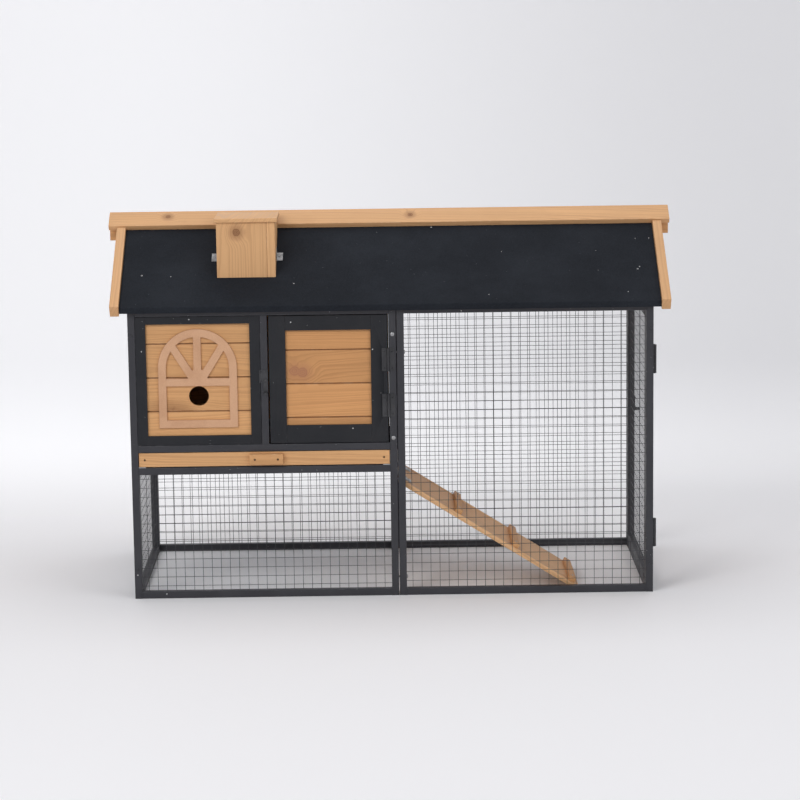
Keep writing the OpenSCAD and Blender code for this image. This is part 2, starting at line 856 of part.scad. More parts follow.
module back_wall_boards() {
    color(timber)
        translate([post_a_x - panel_gap, back_y - wall_inset, 0]) rotate([0, 0, 180])
            boards(lower_w - 2 * panel_gap, floor_z + panel_gap, top_rail_z - panel_gap,
                board_pitch, wall_board_t);
}

module divider_wall_boards() {
    color(timber) difference() {
        translate([post_a_x + tube - wall_inset, side_post_front_y + tube + panel_gap, 0])
            rotate([0, 0, 90])
                boards(wall_span, floor_z + panel_gap, top_rail_z - panel_gap, board_pitch, wall_board_t);
        translate([post_a_x - eps, ramp_mid_y, floor_z]) rotate([90, 0, 90])
            linear_extrude(height = tube + 2 * eps) arch_outline(doorway_w, doorway_h);
    }
}

// ---- front door ----

module at_front_door() {
    translate([door_x0, front_y, door_z0]) children();
}

module front_screw_holes(x_sign) {
    at_front_hinges()
        for (p = leaf_holes(door_hinge_h))
            facing_back(x_sign * p[0], knuckle_r - eps, p[1]) cylinder(d = screw_d, h = screw_l + eps);
}

module front_door_frame() {
    color(paint_black) difference() {
        at_front_door() panel_frame(door_x1 - door_x0, door_z1 - door_z0, door_stile,
            door_top_rail, door_bottom_rail);
        front_screw_holes(-1);
    }
}

module front_door_boards() {
    color(timber) at_front_door() panel_boards(door_x1 - door_x0, door_z1 - door_z0, door_stile,
        door_top_rail, door_bottom_rail);
}

module front_hinge_door_leaves() {
    color(steel_black) at_front_hinges() mirror([1, 0, 0])
        hinge_leaf(door_hinge_h, leaf_w, [1], leaf_holes(door_hinge_h));
}

module front_hinge_post_leaves() {
    color(steel_black) at_front_hinges()
        hinge_leaf(door_hinge_h, leaf_w, [0, 2], leaf_holes(door_hinge_h));
}

module front_hinge_pins() {
    color(steel_black) at_front_hinges() hinge_pin(door_hinge_h);
}

module front_door_screws() {
    color(galvanised) at_front_hinges()
        for (p = leaf_holes(door_hinge_h))
            facing_front(-p[0], knuckle_r - leaf_t, p[1])
                fastener(screw_d, screw_head_d, screw_head_h, screw_l);
}

module front_latch_plate() {
    color(steel_black) at_front_latch() latch_plate();
}

module front_latch_lever() {
    color(steel_black) at_front_latch() latch_lever();
}

// ---- tray ----

tray_front_y = front_y + tray_setback;
tray_x0 = left_x + tube + tray_gap;
tray_x1 = post_a_x - tray_gap;
pan_x0 = left_x + tube + runner_t + pan_side_gap;
pan_x1 = post_a_x - runner_t - pan_side_gap;
pan_z0 = floor_z + runner_t + slide_gap;
pan_y0 = tray_front_y + tray_front_t;
pan_y1 = back_y - tube - pan_back_gap;
tray_front_rise = 0.2;
runner_edge = 1;
tray_front_z0 = pan_z0 + tray_front_rise;
tray_front_z1 = upper_rail_z - tray_gap;
handle_x = (tray_x0 + tray_x1) / 2 + handle_shift;
handle_z = (tray_front_z0 + tray_front_z1) / 2;
front_screw_in = 16;
handle_screw_in = 15;
tray_screw_l = tray_front_t + pan_t;

// Angle that carries one side of the tray, upright against x = 0
module runner() {
    translate([0, side_post_front_y + weld_gap, floor_z + runner_t - runner_w])
        cube([runner_t, body_d - 2 * tube - 2 * weld_gap, runner_w]);
    translate([0, front_y + runner_edge, floor_z])
        cube([runner_w, body_d - tube - runner_edge - weld_gap, runner_t]);
}

module tray_runners() {
    color(galvanised) {
        translate([left_x + tube, 0, 0]) runner();
        translate([post_a_x, 0, 0]) mirror([1, 0, 0]) runner();
    }
}

module tray_pan() {
    color(galvanised) difference() {
        translate([pan_x0, pan_y0, pan_z0]) cube([pan_x1 - pan_x0, pan_y1 - pan_y0, pan_h]);
        translate([pan_x0 + pan_t, pan_y0 + pan_t, pan_z0 + pan_t])
            cube([pan_x1 - pan_x0 - 2 * pan_t, pan_y1 - pan_y0 - 2 * pan_t, pan_h]);
        tray_screw_places() translate([0, 0, -tray_screw_l - eps]) cylinder(d = screw_d, h = screw_l);
    }
}

// Screws through the front board's ends into the pan
module tray_screw_places() {
    for (x = [tray_x0 + front_screw_in, tray_x1 - front_screw_in])
        facing_front(x, tray_front_y, handle_z) children();
}

// Screws through the handle block into the front board
module handle_screw_places() {
    for (s = [-1, 1])
        translate([s * (handle_w / 2 - handle_screw_in), 0, 0])
            facing_front(handle_x, tray_front_y - handle_t, handle_z) children();
}

module tray_front() {
    color(timber) difference() {
        translate([tray_x0, tray_front_y, tray_front_z0])
            cube([tray_x1 - tray_x0, tray_front_t, tray_front_z1 - tray_front_z0]);
        tray_screw_places() translate([0, 0, -tray_screw_l])
            cylinder(d = screw_d, h = tray_screw_l + eps);
        handle_screw_places() translate([0, 0, -handle_t - screw_l])
            cylinder(d = screw_d, h = screw_l + eps);
    }
}

module tray_handle() {
    color(timber) difference() {
        translate([handle_x - handle_w / 2, tray_front_y - handle_t, handle_z - handle_h / 2])
            cube([handle_w, handle_t, handle_h]);
        handle_screw_places() translate([0, 0, -handle_t - eps])
            cylinder(d = screw_d, h = handle_t + 2 * eps);
    }
}

module tray_screws() {
    color(galvanised) {
        tray_screw_places() fastener(screw_d, screw_head_d, screw_head_h, tray_screw_l);
        handle_screw_places() fastener(screw_d, screw_head_d, screw_head_h, handle_t + screw_l - eps);
    }
}

// ---- side door ----

module side_screw_holes(y_sign) {
    at_side_hinges()
        for (p = side_leaf_holes)
            facing_back(y_sign * p[0], side_knuckle_r - eps, p[1])
                cylinder(d = screw_d, h = tube_wall + 2 * eps);
}

module side_door_frame() {
    color(steel_black) difference() {
        union() {
            for (y = [side_door_y0, side_door_y1 - tube])
                post(right_x - tube, y, side_door_z0, side_door_z1);
            for (z = [side_door_z0, side_door_z1 - tube])
                rail_y(side_door_y0 + tube, side_door_y1 - tube, right_x - tube, z);
        }
        side_screw_holes(1);
    }
}

module side_door_mesh() {
    color(steel_black)
        translate([right_x - tube / 2, side_door_y0 + tube, side_door_z0 + tube]) rotate([0, 0, 90])
            mesh(side_door_y1 - side_door_y0 - 2 * tube, side_door_z1 - side_door_z0 - 2 * tube);
}

module side_hinge_door_leaves() {
    color(steel_black) at_side_hinges()
        hinge_leaf(side_hinge_h, leaf_w, [1], side_leaf_holes, side_knuckle_r);
}

module side_hinge_post_leaves() {
    color(steel_black) at_side_hinges() mirror([1, 0, 0])
        hinge_leaf(side_hinge_h, leaf_w, [0, 2], side_leaf_holes, side_knuckle_r);
}

module side_hinge_pins() {
    color(steel_black) at_side_hinges() hinge_pin(side_hinge_h);
}

module side_door_screws() {
    color(galvanised) at_side_hinges()
        for (p = side_leaf_holes)
            facing_front(p[0], side_knuckle_r - leaf_t, p[1])
                fastener(screw_d, screw_head_d, screw_head_h, leaf_t + tube_wall + eps);
}

module side_latch_plate() {
    color(steel_black) at_side_latch() latch_plate();
}

module side_latch_lever() {
    color(steel_black) at_side_latch() latch_lever();
}

// ---- ramp ----

ramp_leaf_screws = [22, 8];
function ramp_leaf_holes() = [for (back = ramp_leaf_screws, s = [-1, 1])
    [ramp_leaf_l - back, s * (ramp_hinge_w / 2 - ramp_screw_inset)]];
function ramp_strap_holes() = [for (u = ramp_strap_screws, s = [-1, 1])
    [u, s * (ramp_hinge_w / 2 - ramp_screw_inset)]];
ramp_screw_cover = 2;
ramp_screw_l = ramp_t - ramp_screw_cover;
cleat_screw_in = 30;

module ramp_leaf_screws_at() {
    for (s = [-1, 1], p = ramp_leaf_holes())
        translate([p[0], s * ramp_hinge_reach + p[1], -knuckle_r]) children();
}

module cleat_screws_at() {
    for (u = cleat_us, s = [-1, 1])
        translate([u, s * (ramp_w / 2 - cleat_inset - cleat_screw_in), -knuckle_r + cleat_h]) children();
}

module ramp_board() {
    color(timber) on_ramp() difference() {
        translate([ramp_end_gap, -ramp_w / 2, -ramp_under])
            cube([ramp_l - ramp_end_gap, ramp_w, ramp_t]);
        ramp_leaf_screws_at() translate([0, 0, -ramp_screw_l])
            cylinder(d = screw_d, h = ramp_screw_l + eps);
        cleat_screws_at() translate([0, 0, -cleat_h - ramp_screw_l])
            cylinder(d = screw_d, h = ramp_screw_l + eps);
    }
}

module ramp_cleats() {
    color(timber) on_ramp() difference() {
        for (u = cleat_us)
            translate([u - cleat_w / 2, -ramp_w / 2 + cleat_inset, -knuckle_r])
                cube([cleat_w, ramp_w - 2 * cleat_inset, cleat_h]);
        cleat_screws_at() translate([0, 0, -cleat_h - eps])
            cylinder(d = screw_d, h = cleat_h + 2 * eps);
    }
}

module ramp_hinge_board_leaves() {
    color(galvanised) at_ramp_hinges() rotate([-90, ramp_angle, 0])
        hinge_leaf(ramp_hinge_w, ramp_leaf_l, [1], ramp_leaf_holes());
}

module ramp_hinge_rail_leaves() {
    color(galvanised) at_ramp_hinges() rotate([90, -90, 0])
        hinge_leaf(ramp_hinge_w, ramp_strap_l, [0, 2], ramp_strap_holes());
}

module ramp_hinge_pins() {
    color(galvanised) at_ramp_hinges() rotate([90, 0, 0]) hinge_pin(ramp_hinge_w);
}

module ramp_screws() {
    color(galvanised) on_ramp() {
        ramp_leaf_screws_at() translate([0, 0, leaf_t])
            fastener(screw_d, screw_head_d, screw_head_h, leaf_t + ramp_screw_l - eps);
        cleat_screws_at() fastener(screw_d, screw_head_d, screw_head_h, cleat_h + ramp_screw_l - eps);
    }
}

// ---- roof ----

// Repeats a front-slope piece on the back slope
module both_slopes() {
    children();
    mirror([0, 1, 0]) children();
}

module roof_board() {
    up = roof_board_t / cos_s;
    along_x(-verge_x, verge_x, [
        [eave_y, roof_under(eave_y)], [roof_top_y, roof_under(roof_top_y)],
        [roof_top_y, roof_under(roof_top_y) + up], [eave_y, roof_under(eave_y) + up]
    ]);
}

// Felt over a roof board, turned down at the eave
module roof_felt() {
    low = roof_board_t / cos_s + seat_gap;
    fold_y = eave_y - seat_gap;
    along_x(-verge_x, verge_x, [
        [felt_edge_y, felt_top(felt_edge_y) - felt_lip], [fold_y, felt_top(felt_edge_y) - felt_lip],
        [fold_y, roof_under(fold_y) + low], [roof_top_y, roof_under(roof_top_y) + low],
        [roof_top_y, felt_top(roof_top_y)], [felt_edge_y, felt_top(felt_edge_y)]
    ]);
}

module front_roof_board() {
    color(timber) difference() {
        roof_board();
        roof_screw_places() roof_screw_hole();
        chimney_screw_places() roof_screw_hole();
    }
}

module back_roof_board() {
    color(timber) mirror([0, 1, 0]) difference() {
        roof_board();
        roof_screw_places() roof_screw_hole();
    }
}

module front_roof_felt() {
    color(felt_black) difference() {
        roof_felt();
        roof_screw_places() roof_screw_hole();
        chimney_screw_places() roof_screw_hole();
    }
}

module back_roof_felt() {
    color(felt_black) mirror([0, 1, 0]) difference() {
        roof_felt();
        roof_screw_places() roof_screw_hole();
    }
}

module ridge_beam() {
    color(timber) translate([-ridge_x, -beam_t / 2, beam_top_z - beam_h])
        cube([2 * ridge_x, beam_t, beam_h]);
}

module ridge_caps() {
    low_y = -cap_w * cos_s;
    low_z = apex_z - cap_w * sin_s;
    color(timber) both_slopes()
        along_x(-ridge_x, ridge_x, [
            [-seat_gap / 2, apex_z], [low_y, low_z],
            [low_y - cap_t * sin_s, low_z + cap_t * cos_s], [-seat_gap / 2, apex_z + cap_t / cos_s]
        ]);
}

// Boards over the roof's ends, notched to pass under the ridge cap
module barge_boards() {
    color(timber) both_slopes() for (x = [-barge_x - barge_t, barge_x])
        along_x(x, x + barge_t, [
            on_felt(barge_end_s, barge_proud), on_felt(barge_end_s, -barge_low),
            [roof_top_y, felt_top(roof_top_y) - barge_low / cos_s],
            [roof_top_y, felt_top(roof_top_y)],
            on_felt(barge_cap_s, 0), on_felt(barge_cap_s, barge_proud)
        ]);
}

// Triangles on the cross frames, notched for the ridge beam
module gable_panels() {
    half = body_d / 2;
    notch = beam_t / 2 + seat_gap;
    notch_z = beam_top_z - beam_h - seat_gap;
    under = -seat_gap / cos_s;
    gable_edge = 2;
    color(timber)
        for (x = [left_x, post_a_x, right_x - tube])
            along_x(x + (tube - gable_t) / 2, x + (tube + gable_t) / 2, [
                [-half + gable_edge, frame_h], [half - gable_edge, frame_h],
                [notch, roof_under(-notch) + under], [notch, notch_z],
                [-notch, notch_z], [-notch, roof_under(-notch) + under]
            ]);
}

module rafters() {
    rafter_edge = 2;
    low_y = side_post_front_y + rafter_edge;
    high_y = roof_top_y;
    up = -seat_gap / cos_s;
    drop = up - rafter_h / cos_s;
    color(timber) both_slopes() difference() {
        for (x = [-rafter_x, rafter_x])
            along_x(x - rafter_w / 2, x + rafter_w / 2, [
                [low_y, roof_under(low_y) + drop], [high_y, roof_under(high_y) + drop],
                [high_y, roof_under(high_y) + up], [low_y, roof_under(low_y) + up]
            ]);
        roof_screw_places() roof_screw_hole();
    }
}

roof_screw_grip = 16;
roof_screw_l = roof_board_t + felt_t + roof_screw_grip;

// A place on the front slope with +Z out of the felt
module on_slope(x, y) {
    translate([x, y, felt_top(y)]) rotate([slope, 0, 0]) children();
}

module roof_screw_places() {
    for (s = [-1, 1]) on_slope(s * rafter_x, roof_screw_y) children();
}

module roof_screw_hole() {
    translate([0, 0, -roof_screw_l]) cylinder(d = screw_d, h = roof_screw_l + eps);
}

module roof_screws() {
    color(galvanised) {
        both_slopes() roof_screw_places()
            fastener(screw_d, screw_head_d, screw_head_h, roof_screw_l);
        chimney_screw_places() translate([0, 0, leaf_t])
            fastener(screw_d, screw_head_d, screw_head_h, leaf_t + roof_board_t);
    }
}

// ---- chimney ----

// A chimney board between two depths, standing on the felt
module chimney_board(x0, x1, y0, y1) {
    along_x(x0, x1, [
        [y0, felt_top(y0) + seat_gap], [y1, felt_top(y1) + seat_gap],
        [y1, chimney_top], [y0, chimney_top]
    ]);
}

module chimney_box() {
    seam = chimney_right - chimney_strip;
    y1 = chimney_front + chimney_t;
    y2 = chimney_back - chimney_t;
    color(timber) {
        chimney_board(chimney_left, seam - board_gap / 2, chimney_front, y1 - seat_gap);
        chimney_board(seam + board_gap / 2, chimney_right, chimney_front, y1 - seat_gap);
        chimney_board(chimney_left, chimney_left + chimney_t, y1, y2);
        chimney_board(chimney_right - chimney_t, chimney_right, y1, y2);
        chimney_board(chimney_left, chimney_right, y2 + seat_gap, chimney_back);
    }
}

module chimney_cap() {
    over = chimney_cap_over;
    color(timber)
        translate([chimney_left - over, chimney_front - over, chimney_top + seat_gap])
            cube([
                chimney_w + 2 * over, chimney_d + over + chimney_cap_back, chimney_cap_t
            ]);
}

module chimney_screw_places() {
    mid = (chimney_left + chimney_right) / 2;
    for (s = [-1, 1]) on_slope(mid + s * (chimney_w + bracket_foot) / 2, bracket_y) children();
}

// Angles beside the chimney: a foot on the felt and an upright on the side board
module chimney_brackets() {
    mid = (chimney_left + chimney_right) / 2;
    color(galvanised) difference() {
        for (s = [-1, 1])
            on_slope(mid + s * (chimney_w / 2 + seat_gap), bracket_y) mirror([s < 0 ? 1 : 0, 0, 0]) {
                translate([0, -bracket_l / 2, seat_gap]) cube([bracket_foot, bracket_l, leaf_t - seat_gap]);
                translate([0, -bracket_l / 2, seat_gap]) cube([leaf_t, bracket_l, bracket_up]);
            }
        chimney_screw_places() translate([0, 0, -eps]) cylinder(d = screw_d, h = leaf_t + 2 * eps);
    }
}

// ---- screws that hold hinges and latches to the frames ----

module hutch_screws() {
    color(galvanised) {
        at_front_hinges() for (p = leaf_holes(door_hinge_h))
            facing_front(p[0], knuckle_r - leaf_t, p[1])
                fastener(screw_d, screw_head_d, screw_head_h, leaf_t - seat_gap);
        at_side_hinges() for (p = side_leaf_holes)
            facing_front(-p[0], side_knuckle_r - leaf_t, p[1])
                fastener(screw_d, screw_head_d, screw_head_h, leaf_t - seat_gap);
        at_ramp_hinges() rotate([90, -90, 0]) for (p = ramp_strap_holes())
            facing_front(p[0], knuckle_r - leaf_t, p[1])
                fastener(screw_d, screw_head_d, screw_head_h, leaf_t - seat_gap);
        at_front_latch() latch_screw_places()
            fastener(latch_screw_d, latch_screw_head_d, screw_head_h, leaf_t - seat_gap);
        at_side_latch() latch_screw_places()
            fastener(latch_screw_d, latch_screw_head_d, screw_head_h, leaf_t - seat_gap);
    }
}

front_left_frame();
front_right_frame();
back_left_frame();
back_right_frame();
left_side_frame();
divider_frame();
right_side_frame();
frame_bolts();
front_run_mesh();
front_lower_mesh();
back_run_mesh();
back_lower_mesh();
left_lower_mesh();
window_panel_frame();
window_panel_boards();
arch_trim();
left_wall_boards();
back_wall_boards();
divider_wall_boards();
front_door_frame();
front_door_boards();
front_hinge_door_leaves();
front_hinge_post_leaves();
front_hinge_pins();
front_door_screws();
front_latch_plate();
front_latch_lever();
tray_runners();
tray_pan();
tray_front();
tray_handle();
tray_screws();
side_door_frame();
side_door_mesh();
side_hinge_door_leaves();
side_hinge_post_leaves();
side_hinge_pins();
side_door_screws();
side_latch_plate();
side_latch_lever();
ramp_board();
ramp_cleats();
ramp_hinge_board_leaves();
ramp_hinge_rail_leaves();
ramp_hinge_pins();
ramp_screws();
front_roof_board();
back_roof_board();
front_roof_felt();
back_roof_felt();
ridge_beam();
ridge_caps();
barge_boards();
gable_panels();
rafters();
roof_screws();
chimney_box();
chimney_cap();
chimney_brackets();
hutch_screws();
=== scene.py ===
"""A rabbit hutch: a timber house and a wire run in steel tube frames, under a felted roof."""

import json
import math

import bmesh
import bpy
import numpy as np
from mathutils import Matrix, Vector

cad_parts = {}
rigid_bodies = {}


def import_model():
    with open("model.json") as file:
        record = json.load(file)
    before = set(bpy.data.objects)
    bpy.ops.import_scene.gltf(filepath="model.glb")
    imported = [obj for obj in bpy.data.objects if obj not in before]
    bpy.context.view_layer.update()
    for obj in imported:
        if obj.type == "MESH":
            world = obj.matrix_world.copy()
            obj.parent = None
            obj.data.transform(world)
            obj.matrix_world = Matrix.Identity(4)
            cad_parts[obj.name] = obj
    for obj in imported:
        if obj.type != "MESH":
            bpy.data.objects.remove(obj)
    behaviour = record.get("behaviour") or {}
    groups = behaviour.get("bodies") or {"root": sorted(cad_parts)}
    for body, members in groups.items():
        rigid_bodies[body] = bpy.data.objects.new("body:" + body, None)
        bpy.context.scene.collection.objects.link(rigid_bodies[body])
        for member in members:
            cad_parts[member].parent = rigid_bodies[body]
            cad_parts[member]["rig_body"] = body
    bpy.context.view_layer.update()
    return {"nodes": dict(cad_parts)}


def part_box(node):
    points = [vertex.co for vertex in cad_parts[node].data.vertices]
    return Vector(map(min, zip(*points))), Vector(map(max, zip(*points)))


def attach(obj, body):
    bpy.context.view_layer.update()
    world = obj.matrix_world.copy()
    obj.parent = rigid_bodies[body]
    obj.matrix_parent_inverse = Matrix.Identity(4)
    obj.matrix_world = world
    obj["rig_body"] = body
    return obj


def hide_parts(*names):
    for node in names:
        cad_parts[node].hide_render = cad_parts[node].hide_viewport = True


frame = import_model()
nodes = frame["nodes"]
scene = bpy.context.scene

# ---------------------------------------------------------------------------
# Square steel tubes of the frames, cold rolled with rounded corners, butt
# welded and coated in a charcoal powder. White dust has settled on the coat.
TUBE_CORNER = 0.0018
CORNER_STEPS = 5
WELD_R = 0.0009
WELD_RIPPLE = 0.00018
WELD_RIPPLE_RATE = 3000
WELD_CORNER_STEPS = 12
WELD_STATIONS = 48
WELD_AROUND = 8
MERGE_GAP = 1e-6
CHARCOAL = (0.034, 0.034, 0.040, 1)
CHARCOAL_WORN = (0.080, 0.080, 0.088, 1)
DUST_WHITE = (0.60, 0.60, 0.60, 1)
FRAME_NODES = ["front_left_frame", "front_right_frame", "back_left_frame", "back_right_frame",
               "left_side_frame", "divider_frame", "right_side_frame"]


def shader_node(tree, kind, values=None, **settings):
    """One shader node. values maps an input's name or number to a number, a colour or a socket."""
    made = tree.nodes.new(kind)
    for key, value in settings.items():
        setattr(made, key, value)
    for key, value in (values or {}).items():
        if isinstance(value, bpy.types.NodeSocket):
            tree.links.new(value, made.inputs[key])
        else:
            made.inputs[key].default_value = value
    return made


def shader_group(name, inputs, outputs):
    """An empty shader node group with named inputs (name, type, default) and outputs (name, type)."""
    tree = bpy.data.node_groups.new(name, "ShaderNodeTree")
    for label, kind, default in inputs:
        socket = tree.interface.new_socket(label, in_out="INPUT", socket_type=kind)
        if default is not None:
            socket.default_value = default
    for label, kind in outputs:
        tree.interface.new_socket(label, in_out="OUTPUT", socket_type=kind)
    return tree, tree.nodes.new("NodeGroupInput").outputs, tree.nodes.new("NodeGroupOutput").inputs


def calc(tree, operation, a, b=0.0, c=0.0, clamp=False):
    """A Math node's result."""
    return shader_node(tree, "ShaderNodeMath", {0: a, 1: b, 2: c},
                       operation=operation, use_clamp=clamp).outputs[0]


def blend_colour(tree, share, a, b, mode="MIX"):
    """Colour a turning into colour b by share."""
    return shader_node(tree, "ShaderNodeMix", {0: share, 6: a, 7: b},
                       data_type="RGBA", blend_type=mode).outputs[2]


def band(tree, value, low, high, to_low=0.0, to_high=1.0):
    """value mapped smoothly from low..high to to_low..to_high and held there outside."""
    return shader_node(tree, "ShaderNodeMapRange", {0: value, 1: low, 2: high, 3: to_low, 4: to_high},
                       interpolation_type="SMOOTHSTEP").outputs[0]


def stretch(tree, vector, factors):
    """A vector with each of its parts multiplied by its own factor."""
    return shader_node(tree, "ShaderNodeVectorMath", {0: vector, 1: factors},
                       operation="MULTIPLY").outputs[0]


def noise(tree, vector, scale, detail, roughness=0.5):
    """Cloudy noise about 0.5, with scale clouds to the metre."""
    made = shader_node(tree, "ShaderNodeTexNoise", {"Vector": vector, "Scale": scale})
    made.inputs["Detail"].default_value = detail
    made.inputs["Roughness"].default_value = roughness
    return made.outputs[0]


def cell_pattern(tree, vector, scale):
    """Cells with scale of them to the metre: the distance to each cell's seed, and two numbers
    drawn for the cell."""
    cells = shader_node(tree, "ShaderNodeTexVoronoi", {"Vector": vector, "Scale": scale}, feature="F1")
    drawn = shader_node(tree, "ShaderNodeSeparateColor", {0: cells.outputs["Color"]}).outputs
    return cells.outputs["Distance"], drawn[0], drawn[1]


def stored(tree, name, output="Fac"):
    """A value that the mesh carries on its faces or points."""
    return shader_node(tree, "ShaderNodeAttribute", attribute_name=name).outputs[output]


def grouped(tree, group, values):
    """The outputs of a group node with its inputs set."""
    return shader_node(tree, "ShaderNodeGroup", values, node_tree=group).outputs


def new_material(name):
    """A material, its tree, its skin shader's inputs and the object's own coordinates."""
    made = bpy.data.materials.new(name)
    made.use_nodes = True
    tree = made.node_tree
    place = shader_node(tree, "ShaderNodeTexCoord").outputs["Object"]
    return made, tree, tree.nodes["Principled BSDF"].inputs, place


def relief(tree, skin, height, strength, depth):
    """Bumps a skin by height, depth metres deep at full strength."""
    bump = shader_node(tree, "ShaderNodeBump", {"Strength": strength, "Distance": depth, "Height": height})
    tree.links.new(bump.outputs[0], skin["Normal"])


FLOAT, COLOUR, VECTOR = "NodeSocketFloat", "NodeSocketColor", "NodeSocketVector"

# Dust: round white specks, one in some of the cells of a scattered pattern
dust_group, g_in, g_out = shader_group(
    "dust_specks",
    [("Vector", VECTOR, None), ("Cells per metre", FLOAT, 60.0),
     ("Share", FLOAT, 0.2), ("Size", FLOAT, 0.09)],
    [("Mask", FLOAT)])
seed_distance, cell_draw, size_draw = cell_pattern(dust_group, g_in["Vector"], g_in["Cells per metre"])
chosen = calc(dust_group, "LESS_THAN", cell_draw, g_in["Share"])
size_factor = calc(dust_group, "MULTIPLY_ADD", size_draw, 0.9, 0.3)
reach = calc(dust_group, "MULTIPLY", g_in["Size"], size_factor)
speck = calc(dust_group, "LESS_THAN", seed_distance, reach)
dust_group.links.new(calc(dust_group, "MULTIPLY", chosen, speck), g_out["Mask"])


def dust(tree, place, cells, share, size):
    """Specks on a share of the cells, with that many cells to the metre."""
    return grouped(tree, dust_group,
                   {"Vector": place, "Cells per metre": cells, "Share": share, "Size": size})["Mask"]


# Wear: the rubbed strip along eased edges, broken up by a fine noise
wear_group, g_in, g_out = shader_group(
    "edge_wear", [("Vector", VECTOR, None), ("Edge", FLOAT, 0.0), ("Amount", FLOAT, 0.5)], [("Mask", FLOAT)])
broken = band(wear_group, noise(wear_group, g_in["Vector"], 45.0, 4.0, 0.7), 0.48, 0.66)
rubbed = calc(wear_group, "MULTIPLY", broken, g_in["Edge"])
wear_group.links.new(calc(wear_group, "MULTIPLY", rubbed, g_in["Amount"]), g_out["Mask"])


def edge_wear(tree, place, amount):
    """The rubbed part of the edges that the mesh marks."""
    edge = stored(tree, "edge")
    return grouped(tree, wear_group, {"Vector": place, "Edge": edge, "Amount": amount})["Mask"]


def coated_steel(name, colour, worn, roughness, specks, gloss=0.35):
    """Powder-coated steel: fine orange peel, cloudy dust film, specks and rubbed edges."""
    made, tree, skin, place = new_material(name)
    film = noise(tree, place, 9.0, 6.0, 0.65)
    peel = noise(tree, place, 900.0, 2.0)
    specked = calc(tree, "MAXIMUM", dust(tree, place, 95.0, specks, 0.075),
                   dust(tree, place, 36.0, specks * 1.3, 0.060))
    base = blend_colour(tree, band(tree, film, 0.35, 0.75, 0.0, 0.22), colour, worn)
    base = blend_colour(tree, edge_wear(tree, place, 0.6), base, worn)
    base = blend_colour(tree, specked, base, DUST_WHITE)
    tree.links.new(base, skin["Base Color"])
    tree.links.new(band(tree, film, 0.3, 0.7, roughness, roughness + 0.2), skin["Roughness"])
    relief(tree, skin, peel, 0.12, 0.0003)
    skin["Specular IOR Level"].default_value = gloss
    return made


frame_coat = coated_steel("charcoal_powder_coat", CHARCOAL, CHARCOAL_WORN, 0.42, 0.20)


def islands(mesh):
    """A number for each vertex, the same for vertices joined by edges: the lowest label in each
    joined set spreads along the edges until nothing changes."""
    count = len(mesh.vertices)
    ends = np.empty(len(mesh.edges) * 2, np.int64)
    mesh.edges.foreach_get("vertices", ends)
    ends = ends.reshape(-1, 2)
    label = np.arange(count)
    while True:
        lowest = np.minimum(label[ends[:, 0]], label[ends[:, 1]])
        spread = label.copy()
        np.minimum.at(spread, ends[:, 0], lowest)
        np.minimum.at(spread, ends[:, 1], lowest)
        spread = spread[spread]
        if (spread == label).all():
            return np.unique(label, return_inverse=True)[1]
        label = spread


def vertex_array(mesh):
    """The mesh's vertices as an n by 3 array."""
    flat = np.empty(len(mesh.vertices) * 3)
    mesh.vertices.foreach_get("co", flat)
    return flat.reshape(-1, 3)


def cad_pieces(node):
    """The vertices of each separate solid of a CAD node, as a list of arrays."""
    copy = bmesh.new()
    copy.from_mesh(nodes[node].data)
    bmesh.ops.remove_doubles(copy, verts=copy.verts, dist=MERGE_GAP)
    merged = bpy.data.meshes.new("merged")
    copy.to_mesh(merged)
    copy.free()
    points, label = vertex_array(merged), islands(merged)
    bpy.data.meshes.remove(merged)
    return [points[label == k] for k in range(label.max() + 1)]


def lofts(name, forms, node, material, smooth=35.0, edge=None):
    """Closed skins joined in one object that stands for a CAD node. Each form is an array of rings
    (ring, point, xyz): neighbouring rings are joined by quads, and the end rings are closed by flat
    faces. A form whose signed volume is negative has its faces turned round."""
    points, faces, start, marks = [], [], 0, []
    for form in forms:
        rings, around = form.shape[:2]
        index = np.arange(rings * around).reshape(rings, around) + start
        turned = np.roll(index, -1, axis=1)
        quads = np.stack([index[:-1], turned[:-1], turned[1:], index[1:]], -1).reshape(-1, 4)
        flat = form.reshape(-1, 3)
        corners = flat[quads - start] - flat.mean(0)
        volume = np.einsum("ij,ij->i", corners[:, 0], np.cross(corners[:, 1], corners[:, 2])).sum()
        volume += np.einsum("ij,ij->i", corners[:, 0], np.cross(corners[:, 2], corners[:, 3])).sum()
        caps = [index[0][::-1], index[-1]]
        if volume < 0:
            quads = quads[:, ::-1]
            caps = [cap[::-1] for cap in caps]
        points.append(flat)
        faces += quads.tolist() + [cap.tolist() for cap in caps]
        marks.append(np.append(edge(form) if edge else np.zeros(len(quads)), [0, 0]))
        start += len(flat)
    mesh = bpy.data.meshes.new(name)
    mesh.from_pydata(np.concatenate(points), [], faces)
    mesh.shade_smooth()
    mesh.set_sharp_from_angle(angle=math.radians(smooth))
    mesh.attributes.new("edge", "FLOAT", "FACE").data.foreach_set("value", np.concatenate(marks))
    made = bpy.data.objects.new(name, mesh)
    scene.collection.objects.link(made)
    mesh.materials.append(material)
    if node:
        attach(made, nodes[node]["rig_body"])
        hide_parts(node)
    return made


def rounded_square(half_u, half_v, radius, steps):
    """Outline of a rectangle with round corners: quarter circles about the four inner corners."""
    turn = np.linspace(0, math.pi / 2, steps)
    quarter = np.stack([np.cos(turn), np.sin(turn)], -1) * radius
    inner = np.array([half_u - radius, half_v - radius])
    spins = [np.array([[math.cos(a), math.sin(a)], [-math.sin(a), math.cos(a)]])
             for a in np.arange(4) * math.pi / 2]
    signs = [(1, 1), (-1, 1), (-1, -1), (1, -1)]
    return np.concatenate([quarter @ spin + inner * sign for spin, sign in zip(spins, signs)])


